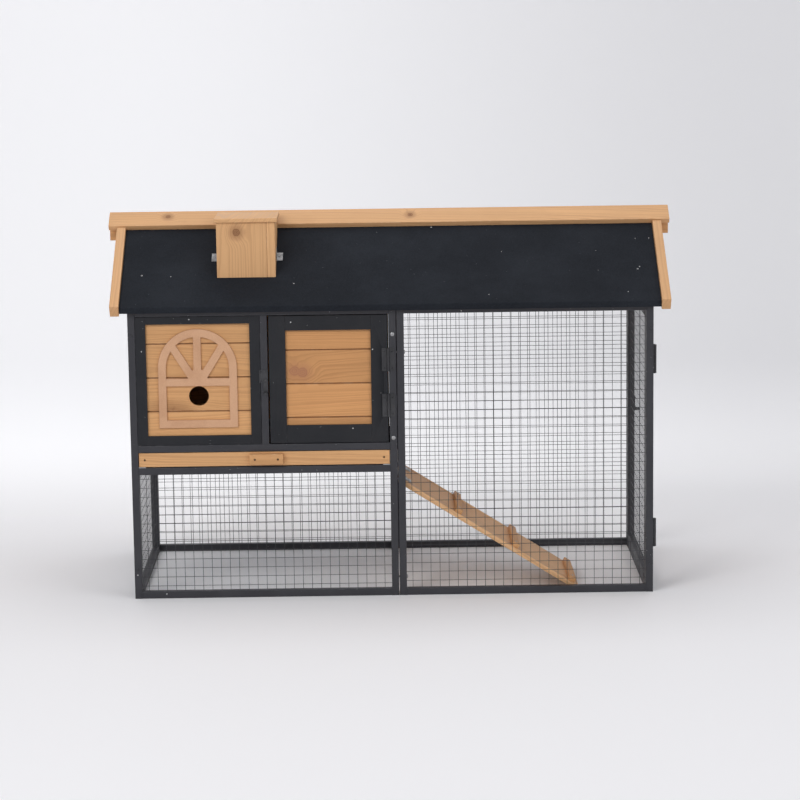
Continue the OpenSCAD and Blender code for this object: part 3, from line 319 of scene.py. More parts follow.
def tube_form(low, high, radius=TUBE_CORNER):
    """A round-cornered tube that fills a box: the outline carried along its longest side."""
    along = int(np.argmax(high - low))
    u, v = [k for k in range(3) if k != along]
    middle, half = (low + high) / 2, (high - low) / 2
    outline = rounded_square(half[u], half[v], radius, CORNER_STEPS)
    stations = np.array([low[along], high[along]])
    form = np.empty((len(stations), len(outline), 3))
    form[..., u] = middle[u] + outline[:, 0]
    form[..., v] = middle[v] + outline[:, 1]
    form[..., along] = stations[:, None]
    return form


def corner_marks(form):
    """1 on the quads of the round corners, 0 on the flats between them."""
    around = form.shape[1]
    round_quads = (np.arange(around) % CORNER_STEPS) < CORNER_STEPS - 1
    return np.tile(round_quads.astype(float), form.shape[0] - 1)


def weld_form(low, high, along, level):
    """A bead round a tube's end: a small circle carried round the tube's outline, its radius
    rippling with the welder's steps. A bead at a foot is flat where it would meet the floor."""
    u, v = [k for k in range(3) if k != along]
    middle, half = (low + high) / 2, (high - low) / 2
    path = rounded_square(half[u], half[v], TUBE_CORNER, WELD_CORNER_STEPS)
    path = np.concatenate([path, path[:1]])
    length = np.append(0, np.cumsum(np.linalg.norm(np.diff(path, axis=0), axis=1)))
    at = np.linspace(0, length[-1], WELD_STATIONS + 1)[:-1]
    ring = np.stack([np.interp(at, length, path[:, k]) for k in (0, 1)], -1)
    outward = ring / np.linalg.norm(ring, axis=1)[:, None]
    size = WELD_R + WELD_RIPPLE * np.sin(at * WELD_RIPPLE_RATE)
    turn = np.linspace(0, 2 * math.pi, WELD_AROUND + 1)[:-1]
    form = np.empty((len(at), len(turn), 3))
    form[..., u] = middle[u] + ring[:, :1] + outward[:, :1] * size[:, None] * np.cos(turn)
    form[..., v] = middle[v] + ring[:, 1:] + outward[:, 1:] * size[:, None] * np.cos(turn)
    form[..., along] = level + size[:, None] * np.sin(turn)
    form[..., 2] = np.maximum(form[..., 2], 0)
    return np.concatenate([form, form[:1]])


def steel_frame(node):
    """Round-cornered tubes and their weld beads, in place of a CAD node's plain tubes."""
    tubes, beads = [], []
    for piece in cad_pieces(node):
        low, high = piece.min(0), piece.max(0)
        tubes.append(tube_form(low, high))
        along = int(np.argmax(high - low))
        if not (along == 2 and low[2] < 1e-3):
            beads += [weld_form(low, high, along, level) for level in (low[along], high[along])]
    lofts(node + "_tubes", tubes, node, frame_coat, edge=corner_marks)
    welds = lofts(node + "_welds", beads, None, frame_coat)
    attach(welds, nodes[node]["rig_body"])


for frame_node in FRAME_NODES:
    steel_frame(frame_node)

# ---------------------------------------------------------------------------
# Bolts and screws. Zinc-plated steel: mushroom-headed bolts hold the frames
# together, and small cross-recessed screws hold the ramp, the felt and the chimney.
ZINC = (0.50, 0.50, 0.50, 1)
ZINC_DULL = (0.26, 0.26, 0.27, 1)
AROUND = 24
DOME_STEPS = 8
DOME_SHARE = 0.97
DOME_RIM = 0.12
TIP_R, TIP_H = 0.6, 0.3
CROSS_ARM, CROSS_REACH, CROSS_DEPTH = 0.16, 0.62, 0.6


def plated_steel(name, bright, dull, roughness):
    """Zinc plate: metal whose crystals differ in tone, dulled in patches."""
    made, tree, skin, place = new_material(name)
    tone = cell_pattern(tree, place, 120.0)[1]
    cloud = noise(tree, place, 30.0, 5.0, 0.7)
    share = calc(tree, "MULTIPLY_ADD", tone, 0.45, band(tree, cloud, 0.35, 0.7, 0.0, 0.5))
    tree.links.new(blend_colour(tree, share, bright, dull), skin["Base Color"])
    tree.links.new(band(tree, cloud, 0.3, 0.7, roughness, roughness + 0.2), skin["Roughness"])
    skin["Metallic"].default_value = 0.85
    relief(tree, skin, cloud, 0.1, 0.0003)
    return made


zinc_plate = plated_steel("zinc_plate", ZINC, ZINC_DULL, 0.35)


def turned_form(piece, domed):
    """A bolt or screw turned about its own axis, in place of a CAD one. The axis is the direction
    whose spread differs most from the other two, and the head's end is the one nearest the widest
    ring. The head is a dome; a screw's has a cross pressed into its top."""
    middle = piece.mean(0)
    spread, axes = np.linalg.eigh(np.cov((piece - middle).T))
    odd = 0 if spread[1] - spread[0] > spread[2] - spread[1] else 2
    axis = axes[:, odd]
    height = (piece - middle) @ axis
    radius = np.linalg.norm(piece - middle - height[:, None] * axis, axis=1)
    # the seat is the widest ring, under the head; height is counted toward the head
    seat = height[radius > radius.max() - 1e-5].mean()
    if abs(height.max() - seat) > abs(height.min() - seat):
        axis, height, seat = -axis, -height, -seat
    head_r, head_h = radius.max(), height.max() - seat
    shaft_r = radius[height < height.min() + 1e-5].max()
    rise = np.linspace(0, 1, DOME_STEPS) * math.pi / 2
    dome_r = head_r * np.cos(rise * DOME_SHARE)
    dome_h = seat + head_h * (DOME_RIM + (1 - DOME_RIM) * np.sin(rise))
    rings_r = np.concatenate([[shaft_r * TIP_R, shaft_r, shaft_r, head_r], dome_r])
    rings_h = np.concatenate([[height.min(), height.min() + shaft_r * TIP_H, seat, seat], dome_h])
    turn = np.linspace(0, 2 * math.pi, AROUND, endpoint=False)
    side = np.cross(axis, [0.13, 0.97, 0.21])
    side /= np.linalg.norm(side)
    up = np.cross(axis, side)
    across = rings_r[:, None] * np.cos(turn)
    over = rings_r[:, None] * np.sin(turn)
    high = np.repeat(rings_h[:, None], AROUND, 1)
    if not domed:
        in_arm = np.minimum(abs(across), abs(over)) < head_r * CROSS_ARM
        recess = in_arm & (np.hypot(across, over) < head_r * CROSS_REACH)
        recess[:-DOME_STEPS] = False
        high = high - recess * head_h * CROSS_DEPTH
    return middle + across[..., None] * side + over[..., None] * up + high[..., None] * axis


def fasteners(node, domed=False, material=zinc_plate):
    """Turned heads and shafts in place of a CAD node's plain ones."""
    forms = [turned_form(piece, domed) for piece in cad_pieces(node)]
    return lofts(node + "_turned", forms, node, material, smooth=50)


# the corner bolts are coated with the frames; the mushroom heads by the centre posts are bare
CORNER_X = 0.6
bolts = fasteners("frame_bolts", domed=True)
bolts.data.materials.append(frame_coat)
centres = np.empty(len(bolts.data.polygons) * 3)
bolts.data.polygons.foreach_get("center", centres)
coated = abs(centres.reshape(-1, 3)[:, 0]) > CORNER_X
bolts.data.polygons.foreach_set("material_index", coated.astype(np.int32))
for screw_node in ("roof_screws", "ramp_screws"):
    fasteners(screw_node)

# ---------------------------------------------------------------------------
# Welded wire mesh. Level and upright wires of black coated steel, cut to end
# on the tubes; the coat is a little glossy where it ran round the wire.
WIRE_BLACK = (0.040, 0.040, 0.044, 1)
WIRE_WORN = (0.12, 0.12, 0.125, 1)
wire_coat = coated_steel("black_wire_coat", WIRE_BLACK, WIRE_WORN, 0.38, 0.05)


def dress(node, material):
    """Gives a CAD node its finish."""
    mesh = nodes[node].data
    mesh.materials.clear()
    mesh.materials.append(material)


for mesh_node in ("front_run_mesh", "front_lower_mesh", "back_run_mesh", "back_lower_mesh",
                  "left_lower_mesh", "side_door_mesh"):
    dress(mesh_node, wire_coat)

# ---------------------------------------------------------------------------
# Window panel and the house's walls. Pine boards with eased edges, each sawn
# from its own log, in stiles and rails painted charcoal.
PINE_LIGHT = (0.640, 0.345, 0.150, 1)
PINE_DARK = (0.400, 0.190, 0.075, 1)
PINE_KNOT_AND_GROOVE_SHADE = (0.200, 0.080, 0.032, 1)
PINK_KNOT = (0.370, 0.160, 0.085, 1)
PINE_RUBBED = (0.740, 0.500, 0.300, 1)
LINE_SPACING = 0.0062
BOARD_EASE = 0.0011
EASE_STEPS, EASE_PROFILE = 3, 0.6
FLAT_TURN, SHARP_TURN = math.radians(0.6), math.radians(30)
PITH_NEAR, PITH_FAR = 0.02, 0.07
PITH_TILT = 0.05
LOG_SHIFT = 8
TONE_LOW, TONE_HIGH = 0.15, 0.85
NO_SPOT = (9.0, 9.0, 9.0)
board_draw = np.random.default_rng(41)

# Pine: growth rings about a pith that runs beside the board, pushed aside round knots
pine_group, g_in, g_out = shader_group(
    "pine_grain",
    [("Grain", VECTOR, None), ("Place", VECTOR, None), ("Tone", FLOAT, 0.5),
     ("Spacing", FLOAT, LINE_SPACING), ("Knots", FLOAT, 0.12), ("Spot", VECTOR, NO_SPOT),
     ("Second spot", VECTOR, NO_SPOT), ("Spot size", FLOAT, 0.016),
     ("Light", COLOUR, PINE_LIGHT), ("Dark", COLOUR, PINE_DARK), ("Knot", COLOUR, PINE_KNOT_AND_GROOVE_SHADE)],
    [("Colour", COLOUR), ("Height", FLOAT), ("Late wood", FLOAT)])
t = pine_group
# small knots, in some cells of a pattern drawn out along the grain
knot_distance, knot_draw, _ = cell_pattern(t, stretch(t, g_in["Grain"], (3.2, 9.0, 9.0)), 1.0)
no_knot = calc(t, "SUBTRACT", 1.0, calc(t, "LESS_THAN", knot_draw, g_in["Knots"]))
knot_d = calc(t, "ADD", calc(t, "MULTIPLY", knot_distance, 0.8), calc(t, "MULTIPLY", no_knot, 5.0))
# two knots at given places
spot_len = calc(t, "MINIMUM", *[
    shader_node(t, "ShaderNodeVectorMath", {0: g_in["Place"], 1: g_in[label]},
                operation="DISTANCE").outputs["Value"]
    for label in ("Spot", "Second spot")])
spot_d = calc(t, "MULTIPLY", calc(t, "DIVIDE", spot_len, g_in["Spot size"]), 0.11)
wobble = calc(t, "SUBTRACT", noise(t, g_in["Place"], 60.0, 3.0), 0.5)
near = calc(t, "ADD", calc(t, "MINIMUM", knot_d, spot_d), calc(t, "MULTIPLY", wobble, 0.05))
# rings about the pith, drifting along the log and pushed out round a knot
split = shader_node(t, "ShaderNodeSeparateXYZ", {0: g_in["Grain"]}).outputs
squares = [calc(t, "MULTIPLY", split[k], split[k]) for k in (1, 2)]
drift = noise(t, stretch(t, g_in["Grain"], (1.6, 16.0, 16.0)), 1.0, 3.0)
radius = calc(t, "ADD", calc(t, "SQRT", calc(t, "ADD", *squares)), calc(t, "MULTIPLY", drift, 0.030))
push = calc(t, "MULTIPLY", band(t, near, 0.0, 0.42, 1.0, 0.0), 0.020)
rings = calc(t, "DIVIDE", calc(t, "ADD", radius, push), g_in["Spacing"])
# wet and dry years: the rings crowd and spread
years = shader_node(t, "ShaderNodeTexNoise",
                    {"W": calc(t, "MULTIPLY", rings, 0.45), "Scale": 1.0, "Detail": 1.0},
                    noise_dimensions="1D").outputs[0]
saw = calc(t, "FRACT", calc(t, "MULTIPLY_ADD", years, 2.6, rings))
late = calc(t, "MULTIPLY", band(t, saw, 0.30, 0.88), band(t, saw, 0.90, 1.0, 1.0, 0.0))
# colour: late wood, fine fibres and cloudy tone, then the knots over it
fibre = noise(t, stretch(t, g_in["Grain"], (14.0, 900.0, 900.0)), 1.0, 2.0)
cloud = noise(t, stretch(t, g_in["Grain"], (5.0, 22.0, 22.0)), 1.0, 3.0)
ring_share = calc(t, "MULTIPLY", late, calc(t, "MULTIPLY_ADD", cloud, 0.60, 0.06))
fibre_share = calc(t, "MULTIPLY", calc(t, "SUBTRACT", fibre, 0.5), 0.35)
dark_share = calc(t, "ADD", ring_share, fibre_share, clamp=True)
wood = blend_colour(t, dark_share, g_in["Light"], g_in["Dark"])
shade = calc(t, "MULTIPLY_ADD", g_in["Tone"], 0.30, calc(t, "MULTIPLY_ADD", cloud, 0.22, 0.74))
shade_colour = shader_node(t, "ShaderNodeCombineColor", {0: shade, 1: shade, 2: shade}).outputs[0]
wood = blend_colour(t, 1.0, wood, shade_colour, "MULTIPLY")
knot_rings = calc(t, "MULTIPLY_ADD", calc(t, "SINE", calc(t, "MULTIPLY", near, 190.0)), 0.16, 0.80)
knot_core = calc(t, "MULTIPLY", band(t, near, 0.075, 0.13, 1.0, 0.0), knot_rings)
knot_halo = band(t, near, 0.09, 0.26, 0.42, 0.0)
wood = blend_colour(t, calc(t, "MAXIMUM", knot_core, knot_halo), wood, g_in["Knot"])
t.links.new(wood, g_out["Colour"])
t.links.new(calc(t, "ADD", calc(t, "MULTIPLY", late, -0.5), fibre), g_out["Height"])
t.links.new(late, g_out["Late wood"])


def pine(name, spot=NO_SPOT, second=NO_SPOT, spot_size=0.016, knots=0.10, light=PINE_LIGHT,
         dark=PINE_DARK, knot=PINE_KNOT_AND_GROOVE_SHADE, spacing=LINE_SPACING, groove_shade=0.0):
    """Oiled pine: the grain group, soft sheen that drops on the late wood, a little dust and wear.
    groove_shade is how much painted shade darkens the sloping faces of the board's eased edges and grooves."""
    made, tree, skin, place = new_material(name)
    wood = grouped(tree, pine_group,
                   {"Grain": stored(tree, "grain", "Vector"), "Place": place, "Tone": stored(tree, "tone"),
                    "Spacing": spacing, "Knots": knots, "Spot": spot, "Second spot": second,
                    "Spot size": spot_size, "Light": light, "Dark": dark, "Knot": knot})
    grime = band(tree, noise(tree, place, 6.0, 6.0, 0.6), 0.52, 0.75, 0.0, 0.16)
    base = blend_colour(tree, grime, wood["Colour"], dark)
    base = blend_colour(tree, edge_wear(tree, place, 0.45), base, PINE_RUBBED)
    # painted shade: the sloping faces of the board edges and grooves are darkened toward the knot colour by
    # groove_shade
    base = blend_colour(tree, calc(tree, "MULTIPLY", stored(tree, "tilted"), groove_shade), base, PINE_KNOT_AND_GROOVE_SHADE)
    tree.links.new(base, skin["Base Color"])
    tree.links.new(band(tree, wood["Late wood"], 0.0, 1.0, 0.58, 0.46), skin["Roughness"])
    relief(tree, skin, wood["Height"], 0.28, 0.0004)
    skin["Specular IOR Level"].default_value = 0.3
    return made


def eased(node, material, ease=BOARD_EASE, along=None, shortest_edge=0.006):
    """A copy of a CAD node with its long sharp edges rounded, which stands for it. Each solid gets
    its own grain coordinates: distance along the grain, and place about a tilted pith beside it.
    along is the grain's direction, "length" for each solid's own longest direction, or None for
    its longest side."""
    solid = bmesh.new()
    solid.from_mesh(nodes[node].data)
    bmesh.ops.remove_doubles(solid, verts=solid.verts, dist=MERGE_GAP)
    bmesh.ops.dissolve_limit(solid, angle_limit=FLAT_TURN, verts=solid.verts, edges=solid.edges)
    sharp = [e for e in solid.edges
             if len(e.link_faces) == 2 and e.calc_length() > shortest_edge
             and e.calc_face_angle(0) > SHARP_TURN]
    solid.normal_update()
    flats = np.array([f.normal for f in solid.faces])
    bmesh.ops.bevel(solid, geom=sharp, offset=ease, segments=EASE_STEPS, profile=EASE_PROFILE,
                    affect="EDGES", clamp_overlap=True)
    mesh = bpy.data.meshes.new(node + "_eased")
    solid.normal_update()
    normals = np.array([f.normal for f in solid.faces])
    marks = ((normals @ flats.T).max(axis=1) < 0.9995).astype(float)
    tilts = (abs(normals).max(axis=1) < 0.95).astype(float)
    solid.to_mesh(mesh)
    solid.free()
    mesh.attributes.new("edge", "FLOAT", "FACE").data.foreach_set("value", marks)
    mesh.attributes.new("tilted", "FLOAT", "FACE").data.foreach_set("value", tilts)
    points, label = vertex_array(mesh), islands(mesh)
    grain, tone = np.empty_like(points), np.empty(len(points))
    for k in range(label.max() + 1):
        part = points[label == k]
        middle, size = (part.min(0) + part.max(0)) / 2, np.ptp(part, axis=0)
        if along is None:
            axes = np.roll(np.eye(3), -int(np.argmax(size)), axis=0)
        elif isinstance(along, str):
            axes = np.linalg.svd(part - part.mean(0), full_matrices=False)[2]
        else:
            first = np.array(along, float)
            second = np.cross([0.0, 1.0, 0.0] if abs(first[1]) < 0.9 else [1.0, 0, 0], first)
            axes = np.stack([first, second, np.cross(first, second)])
        local = (part - middle) @ axes.T
        pith = board_draw.uniform([PITH_NEAR] * 2, [PITH_FAR] * 2) * board_draw.choice([-1, 1], 2)
        tilt = board_draw.uniform(-PITH_TILT, PITH_TILT, 2)
        local[:, 1:] += pith + local[:, :1] * tilt
        local[:, 0] += board_draw.uniform(-LOG_SHIFT, LOG_SHIFT)
        grain[label == k] = local
        tone[label == k] = board_draw.uniform(TONE_LOW, TONE_HIGH)
    mesh.attributes.new("grain", "FLOAT_VECTOR", "POINT").data.foreach_set("vector", grain.ravel())
    mesh.attributes.new("tone", "FLOAT", "POINT").data.foreach_set("value", tone)
    mesh.shade_smooth()
    mesh.set_sharp_from_angle(angle=math.radians(38))
    mesh.materials.append(material)
    made = bpy.data.objects.new(node + "_eased", mesh)
    scene.collection.objects.link(made)
    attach(made, nodes[node]["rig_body"])
    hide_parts(node)
    return made


PAINT = (0.0175, 0.0185, 0.0220, 1)
PAINT_WORN = (0.060, 0.058, 0.060, 1)
PAINT_LINE_SPACING = 0.006
# how much painted shade darkens the grooves and eased edges of the wall and door boards
WALL_GROOVE_SHADE = 0.62


def painted_wood(name):
    """Charcoal paint on pine: faint grain telegraphs through, with dust specks and rubbed edges."""
    made = coated_steel(name, PAINT, PAINT_WORN, 0.55, 0.22, gloss=0.22)
    tree = made.node_tree
    place = shader_node(tree, "ShaderNodeTexCoord").outputs["Object"]
    wood = grouped(tree, pine_group, {"Grain": stored(tree, "grain", "Vector"), "Place": place,
                                      "Spacing": PAINT_LINE_SPACING})
    relief(tree, tree.nodes["Principled BSDF"].inputs, wood["Height"], 0.22, 0.0005)
    return made


board_pine = pine("board_pine", groove_shade=WALL_GROOVE_SHADE)
charcoal_paint = painted_wood("charcoal_paint")
eased("window_panel_boards", board_pine)
eased("window_panel_frame", charcoal_paint)
for wall in ("left_wall_boards", "back_wall_boards", "divider_wall_boards"):
    eased(wall, board_pine)

# ---------------------------------------------------------------------------
# Arched window trim. Routed from one thin sheet of sealed fibreboard, pinker
# than the pine, glued and pinned over the boards; painted shade darkens its edges.
TRIM_FACE = (0.640, 0.372, 0.218, 1)
TRIM_DARK = (0.470, 0.245, 0.130, 1)
TRIM_EDGE_SHADE = (0.300, 0.150, 0.080, 1)
fibreboard, t, skin, place = new_material("sealed_fibreboard")
fleck = noise(t, place, 700.0, 3.0)
cloud = noise(t, place, 14.0, 5.0)
share = calc(t, "ADD", band(t, fleck, 0.35, 0.7, 0.0, 0.35), band(t, cloud, 0.4, 0.7, 0.0, 0.35))
base = blend_colour(t, share, TRIM_FACE, TRIM_DARK)
# painted shade: the eased edge faces are darkened to draw the shade lines round the trim
base = blend_colour(t, calc(t, "MULTIPLY", stored(t, "edge"), 0.8), base, TRIM_EDGE_SHADE)
t.links.new(base, skin["Base Color"])
t.links.new(band(t, cloud, 0.3, 0.7, 0.55, 0.75), skin["Roughness"])
relief(t, skin, fleck, 0.2, 0.0003)
eased("arch_trim", fibreboard, ease=0.0007, shortest_edge=0.003)

# ---------------------------------------------------------------------------
# Front door. Painted stiles and rails round four level boards; a pink knot
# with two lobes sits near the left end of the second board.
DOOR_KNOTS = (-0.268, -0.303, 0.638), (-0.245, -0.303, 0.634)
DOOR_LIGHT = (0.600, 0.300, 0.120, 1)
DOOR_DARK = (0.380, 0.170, 0.062, 1)
eased("front_door_frame", charcoal_paint)
eased("front_door_boards", pine("door_pine", *DOOR_KNOTS, spot_size=0.0165, knots=0.02, knot=PINK_KNOT,
                                light=DOOR_LIGHT, dark=DOOR_DARK, groove_shade=WALL_GROOVE_SHADE))

# ---------------------------------------------------------------------------
# Hinges and turn latches. Pressed black steel with a thin satin coat, pinned
# with plain rod.
BLACK_STEEL = (0.030, 0.030, 0.033, 1)
BLACK_WORN = (0.16, 0.16, 0.17, 1)
STEEL_EASE, STEEL_EDGE = 0.00025, 0.005
black_coat = coated_steel("black_hardware_coat", BLACK_STEEL, BLACK_WORN, 0.34, 0.12)
for hardware in ("front_hinge_door_leaves", "front_hinge_post_leaves", "front_hinge_pins",
                 "front_latch_plate", "front_latch_lever", "side_hinge_door_leaves",
                 "side_hinge_post_leaves", "side_hinge_pins", "side_latch_plate", "side_latch_lever"):
    eased(hardware, black_coat, ease=STEEL_EASE, shortest_edge=STEEL_EDGE)
for screw_node in ("front_door_screws", "side_door_screws", "hutch_screws"):
    fasteners(screw_node, material=black_coat)

# ---------------------------------------------------------------------------
# Tray. A folded galvanised pan behind a pine front board, with a small block
# for a handle; it runs on two galvanised angles.
TRAY_LIGHT = (0.690, 0.385, 0.175, 1)
SHEET_BRIGHT, SHEET_DULL = (0.55, 0.56, 0.57, 1), (0.34, 0.35, 0.37, 1)
BROWN_BRIGHT, BROWN_DULL = (0.20, 0.13, 0.07, 1), (0.08, 0.05, 0.03, 1)
SHEET_EASE = 0.0003
eased("tray_front", pine("tray_pine", knots=0.05, light=TRAY_LIGHT))
eased("tray_handle", pine("handle_pine", knots=0.0), ease=0.0018)
sheet_zinc = plated_steel("galvanised_sheet", SHEET_BRIGHT, SHEET_DULL, 0.38)
for sheet_node in ("tray_pan", "tray_runners"):
    eased(sheet_node, sheet_zinc, ease=SHEET_EASE)
brown_plate = plated_steel("browned_screw_plate", BROWN_BRIGHT, BROWN_DULL, 0.45)
fasteners("tray_screws", material=brown_plate)

# ---------------------------------------------------------------------------
# Side door. Four welded tubes round a mesh panel, the whole height of the run.
steel_frame("side_door_frame")

# ---------------------------------------------------------------------------
# Ramp. One pine plank with three cleats screwed across it, hung from the
# house's floor rail by two galvanised hinges.
RAMP_LIGHT = (0.740, 0.450, 0.235, 1)
RAMP_DARK = (0.500, 0.265, 0.120, 1)
eased("ramp_board", pine("ramp_pine", knots=0.12, light=RAMP_LIGHT, dark=RAMP_DARK), along="length")
eased("ramp_cleats", pine("cleat_pine", knots=0.0), along=(0, 1, 0))
for strap in ("ramp_hinge_board_leaves", "ramp_hinge_rail_leaves", "ramp_hinge_pins"):
    eased(strap, zinc_plate, ease=STEEL_EASE, shortest_edge=STEEL_EDGE)

# ---------------------------------------------------------------------------
# Roof timbers. Sheathing, ridge beam, two cap boards mitred over it, barge
# boards up the ends, rafters and gable panels, all in oiled pine.
RIDGE_KNOTS = (-0.628, -0.022, 1.046), (0.060, -0.026, 1.043)
ROOF_LIGHT = (0.600, 0.345, 0.168, 1)
ROOF_DARK = (0.400, 0.200, 0.085, 1)
roof_pine = pine("roof_pine", knots=0.08)
for timber in ("front_roof_board", "back_roof_board", "ridge_beam"):
    eased(timber, roof_pine)
eased("rafters", roof_pine, along="length")
eased("gable_panels", roof_pine, along=(0, 1, 0))
eased("ridge_caps", pine("ridge_pine", *RIDGE_KNOTS, spot_size=0.010, knots=0.16,
                         light=ROOF_LIGHT, dark=ROOF_DARK), ease=0.0016)
eased("barge_boards", pine("barge_pine", knots=0.03, light=ROOF_LIGHT, dark=ROOF_DARK),
      ease=0.0014, along="length")

# ---------------------------------------------------------------------------
# Roofing felt. Bitumen sheet faced with slate-blue mineral granules, nailed
# down each slope and folded over the eave; it lies a little uneven.
FELT_DARK = (0.0105, 0.0122, 0.0160, 1)
FELT_LIGHT = (0.0235, 0.0270, 0.0340, 1)
GRANULE = (0.28, 0.30, 0.33, 1)
FELT_WAVE = 0.0004
FELT_RIPPLES = ((1.0, 23, 9), (0.6, 51, -31), (0.5, 4, 60))
RIPPLE_SHARE, RIPPLE_MOST = 0.4, 1.8
FOLD_R = 0.003
SLOPE_STEPS, FOLD_STEPS, LENGTH_STEPS = 40, 7, 150
ON_LINE = 1e-5

felt, t, skin, place = new_material("mineral_felt")
seed_distance, tone, _ = cell_pattern(t, place, 620.0)
patches = band(t, noise(t, place, 5.0, 7.0, 0.62), 0.35, 0.7, -0.1, 0.35)
base = blend_colour(t, calc(t, "MULTIPLY_ADD", tone, 0.7, patches), FELT_DARK, FELT_LIGHT)
fine = dust(t, place, 120.0, 0.10, 0.075)
base = blend_colour(t, calc(t, "MULTIPLY", fine, 0.55), base, GRANULE)
base = blend_colour(t, dust(t, place, 26.0, 0.17, 0.052), base, DUST_WHITE)
t.links.new(base, skin["Base Color"])
t.links.new(band(t, tone, 0.0, 1.0, 0.80, 0.95), skin["Roughness"])
skin["Specular IOR Level"].default_value = 0.12
relief(t, skin, seed_distance, 0.6, 0.0006)


def heights_at(section, y):
    """The lowest and highest point of a section at one y."""
    heights = section[abs(section[:, 0] - y) < ON_LINE][:, 1]
    return heights.min(), heights.max()


def felt_sheet(node, side):
    """The felt of one slope: its section, from the ridge down the slope, round the fold and back
    up the inner side, carried along the roof, with low waves that fade at the ridge and eave.
    The fold is a quadratic curve from the slope to the upright face of the eave."""
    piece = cad_pieces(node)[0]
    section = piece[abs(piece[:, 0] - piece[:, 0].min()) < ON_LINE][:, 1:] * [side, 1]
    outer_y, ridge_y = section[:, 0].min(), section[:, 0].max()
    foot_z, top_eave = heights_at(section, outer_y)
    ridge_foot, ridge_top = heights_at(section, ridge_y)
    fold_in = section[abs(section[:, 1] - foot_z) < ON_LINE][:, 0].max()
    inner_eave = heights_at(section, fold_in)[1]
    slope = math.atan2(ridge_top - top_eave, ridge_y - outer_y)
    down = np.linspace(0, 1, SLOPE_STEPS)[:, None]
    start, corner = np.array([ridge_y, ridge_top]), np.array([outer_y, top_eave])
    stop = corner + np.array([math.cos(slope), math.sin(slope)]) * FOLD_R
    run = start + (stop - start) * down
    turn = np.linspace(0, 1, FOLD_STEPS)[1:, None]
    below = corner - [0, FOLD_R]
    fold = (1 - turn) ** 2 * stop + 2 * turn * (1 - turn) * corner + turn ** 2 * below
    foot = np.array([[outer_y, foot_z], [fold_in, foot_z], [fold_in, inner_eave]])
    back = foot[-1] + (np.array([ridge_y, ridge_foot]) - foot[-1]) * down[1:]
    outline = np.concatenate([run, fold, foot, back])
    low_x, high_x = (corner[0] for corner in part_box(node))
    x = np.linspace(low_x, high_x, LENGTH_STEPS)[:, None]
    y = outline[:, 0]
    fade = np.zeros(len(outline))
    fade[:SLOPE_STEPS] = np.sin(np.linspace(0, math.pi, SLOPE_STEPS))
    wave = sum(share * np.sin(x * along + y * across) for share, along, across in FELT_RIPPLES)
    lift = -FELT_WAVE * (1 - RIPPLE_SHARE * wave) * fade / RIPPLE_MOST
    form = np.empty((len(x), len(outline), 3))
    form[..., 0] = x
    form[..., 1] = (y - math.sin(slope) * lift) * side
    form[..., 2] = outline[:, 1] + math.cos(slope) * lift
    lofts(node + "_sheet", [form], node, felt, smooth=60)


felt_sheet("front_roof_felt", 1)
felt_sheet("back_roof_felt", -1)

# ---------------------------------------------------------------------------
# Chimney. A box of upright pine boards cut to the slope under a level cap,
# held to the roof by two galvanised angles.
CHIMNEY_KNOT = (-0.424, -0.222, 1.016)
CHIMNEY_LIGHT = (0.700, 0.405, 0.195, 1)
CHIMNEY_DARK = (0.450, 0.225, 0.095, 1)
BRACKET_BRIGHT, BRACKET_DULL = (0.34, 0.345, 0.35, 1), (0.20, 0.20, 0.21, 1)
eased("chimney_box", pine("chimney_pine", spot=CHIMNEY_KNOT, spot_size=0.013, knots=0.03,
                          light=CHIMNEY_LIGHT, dark=CHIMNEY_DARK, spacing=0.007), along=(0, 0, 1))
eased("chimney_cap", pine("chimney_cap_pine", knots=0.03, light=CHIMNEY_LIGHT, dark=CHIMNEY_DARK))
bracket_zinc = plated_steel("bracket_zinc", BRACKET_BRIGHT, BRACKET_DULL, 0.45)
eased("chimney_brackets", bracket_zinc, ease=SHEET_EASE)

# ---------------------------------------------------------------------------
# Studio. A pale floor that curves up into a wall, soft lamps, and a camera
# seven and a half metres in front, above the roof and looking a little down.
FLOOR_TONE = (0.88, 0.873, 0.885, 1)
FLOOR_REACH = 42.0
BEND_START, BEND_R, BEND_STEPS = 4.0, 2.0, 24
WALL_TOP = 9.0
GLOW_TINT = (0.97, 0.98, 1.0, 1)
GLOW_LEFT, GLOW_RIGHT, GLOW_AWAY = 0.32, 0.12, 0.36
AIR_TINT = (0.95, 0.96, 1.0, 1)
AIR_STRENGTH = 0.45
LAMP_AIM = np.array([0.0, 0.0, 0.5])
CAMERA_PLACE = (-0.012, -7.645, 1.781)
CAMERA_YAW, CAMERA_PITCH, CAMERA_ROLL = 0.274, 9.496, -0.759
CAMERA_LENS, CAMERA_SENSOR = 120.96, 36.0

bend = np.linspace(0, math.pi / 2, BEND_STEPS)
curve = np.stack([BEND_START + BEND_R * np.sin(bend), BEND_R - BEND_R * np.cos(bend)], -1)
profile = np.concatenate([[[-FLOOR_REACH, 0.0]], curve, [[BEND_START + BEND_R, WALL_TOP]]])
sweep_x = np.linspace(-FLOOR_REACH, FLOOR_REACH, 3)
grid = np.empty((len(sweep_x), len(profile), 3))
grid[..., 0] = sweep_x[:, None]
grid[..., 1], grid[..., 2] = profile[:, 0], profile[:, 1]
index = np.arange(grid.shape[0] * grid.shape[1]).reshape(grid.shape[:2])
quads = np.stack([index[:-1, :-1], index[1:, :-1], index[1:, 1:], index[:-1, 1:]], -1).reshape(-1, 4)
backdrop_mesh = bpy.data.meshes.new("backdrop")
backdrop_mesh.from_pydata(grid.reshape(-1, 3), [], quads.tolist())
backdrop_mesh.shade_smooth()
backdrop = bpy.data.objects.new("backdrop", backdrop_mesh)
scene.collection.objects.link(backdrop)
pale, t, skin, place = new_material("pale_floor")
skin["Base Color"].default_value = FLOOR_TONE
skin["Roughness"].default_value = 0.7
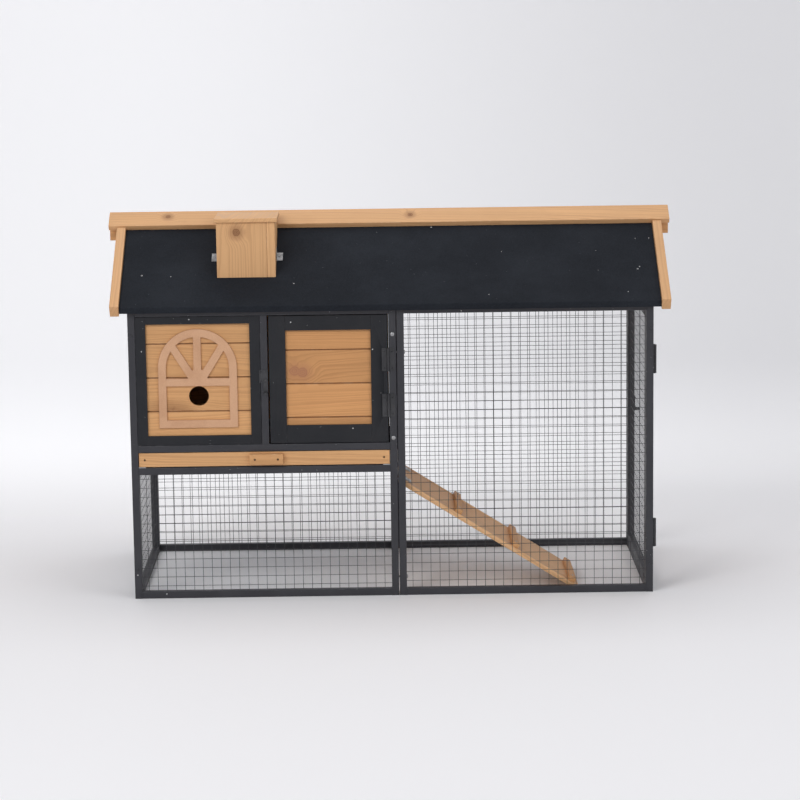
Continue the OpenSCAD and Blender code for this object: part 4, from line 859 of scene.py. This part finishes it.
# the far floor and wall glow to the lens and in reflections only, more on the left, and so
# does the floor well beside and before the hutch, which is seen from other sides
ray = shader_node(t, "ShaderNodeLightPath").outputs
mirrored = calc(t, "MAXIMUM", ray["Is Glossy Ray"], ray["Is Transmission Ray"])
seen = calc(t, "MAXIMUM", ray["Is Camera Ray"], mirrored)
split = shader_node(t, "ShaderNodeSeparateXYZ", {0: place}).outputs
across_glow = band(t, split["X"], -1.6, 1.9, GLOW_LEFT, GLOW_RIGHT)
glow = calc(t, "MULTIPLY", band(t, split["Y"], -0.1, 2.2), across_glow)
glow = calc(t, "MAXIMUM", glow, band(t, calc(t, "ABSOLUTE", split["X"]), 2.6, 10.0, 0.0, GLOW_AWAY))
glow = calc(t, "MAXIMUM", glow, band(t, split["Y"], -10.0, -3.2, GLOW_AWAY, 0.0))
skin["Emission Color"].default_value = GLOW_TINT
t.links.new(calc(t, "MULTIPLY", seen, glow), skin["Emission Strength"])
# the wall is clear from behind, so the hutch can be seen from the back
behind = shader_node(t, "ShaderNodeNewGeometry").outputs["Backfacing"]
clear = shader_node(t, "ShaderNodeBsdfTransparent").outputs[0]
wall = shader_node(t, "ShaderNodeMixShader", {0: behind, 1: t.nodes["Principled BSDF"].outputs[0], 2: clear})
t.links.new(wall.outputs[0], t.nodes["Material Output"].inputs["Surface"])
backdrop_mesh.materials.append(pale)

world = bpy.data.worlds.new("studio_air")
scene.world = world
world.use_nodes = True
air = world.node_tree.nodes["Background"].inputs
air["Color"].default_value = AIR_TINT
air["Strength"].default_value = AIR_STRENGTH


def soft_lamp(name, place, size, watts):
    """A square area lamp at place, turned to face the middle of the hutch."""
    data = bpy.data.lights.new(name, "AREA")
    data.size, data.energy = size, watts
    lamp = bpy.data.objects.new(name, data)
    scene.collection.objects.link(lamp)
    back = np.array(place) - LAMP_AIM
    back /= np.linalg.norm(back)
    right = np.cross([0, 0, 1], back)
    right /= np.linalg.norm(right)
    turn = np.eye(4)
    turn[:3, :3] = np.stack([right, np.cross(back, right), back], 1)
    turn[:3, 3] = place
    lamp.matrix_world = Matrix(turn.tolist())


soft_lamp("key_lamp", (-3.0, -4.5, 4.2), 2.6, 130)
soft_lamp("fill_lamp", (3.5, -4.0, 3.0), 3.0, 56)
soft_lamp("top_lamp", (0.0, 0.5, 4.6), 3.4, 62)

yaw, pitch, roll = (math.radians(a) for a in (CAMERA_YAW, CAMERA_PITCH, CAMERA_ROLL))
ahead = np.array([math.sin(yaw) * math.cos(pitch), math.cos(yaw) * math.cos(pitch), -math.sin(pitch)])
level = np.array([math.cos(yaw), -math.sin(yaw), 0])
above = np.cross(level, ahead)
camera_turn = np.eye(4)
camera_turn[:3, 0] = math.cos(roll) * level + math.sin(roll) * above
camera_turn[:3, 1] = -math.sin(roll) * level + math.cos(roll) * above
camera_turn[:3, 2] = -ahead
camera_turn[:3, 3] = CAMERA_PLACE
camera_data = bpy.data.cameras.new("camera")
camera_data.lens, camera_data.sensor_width = CAMERA_LENS, CAMERA_SENSOR
camera_data.clip_end = 100
camera = bpy.data.objects.new("camera", camera_data)
scene.collection.objects.link(camera)
camera.matrix_world = Matrix(camera_turn.tolist())
scene.camera = camera
scene.view_settings.view_transform = "Standard"
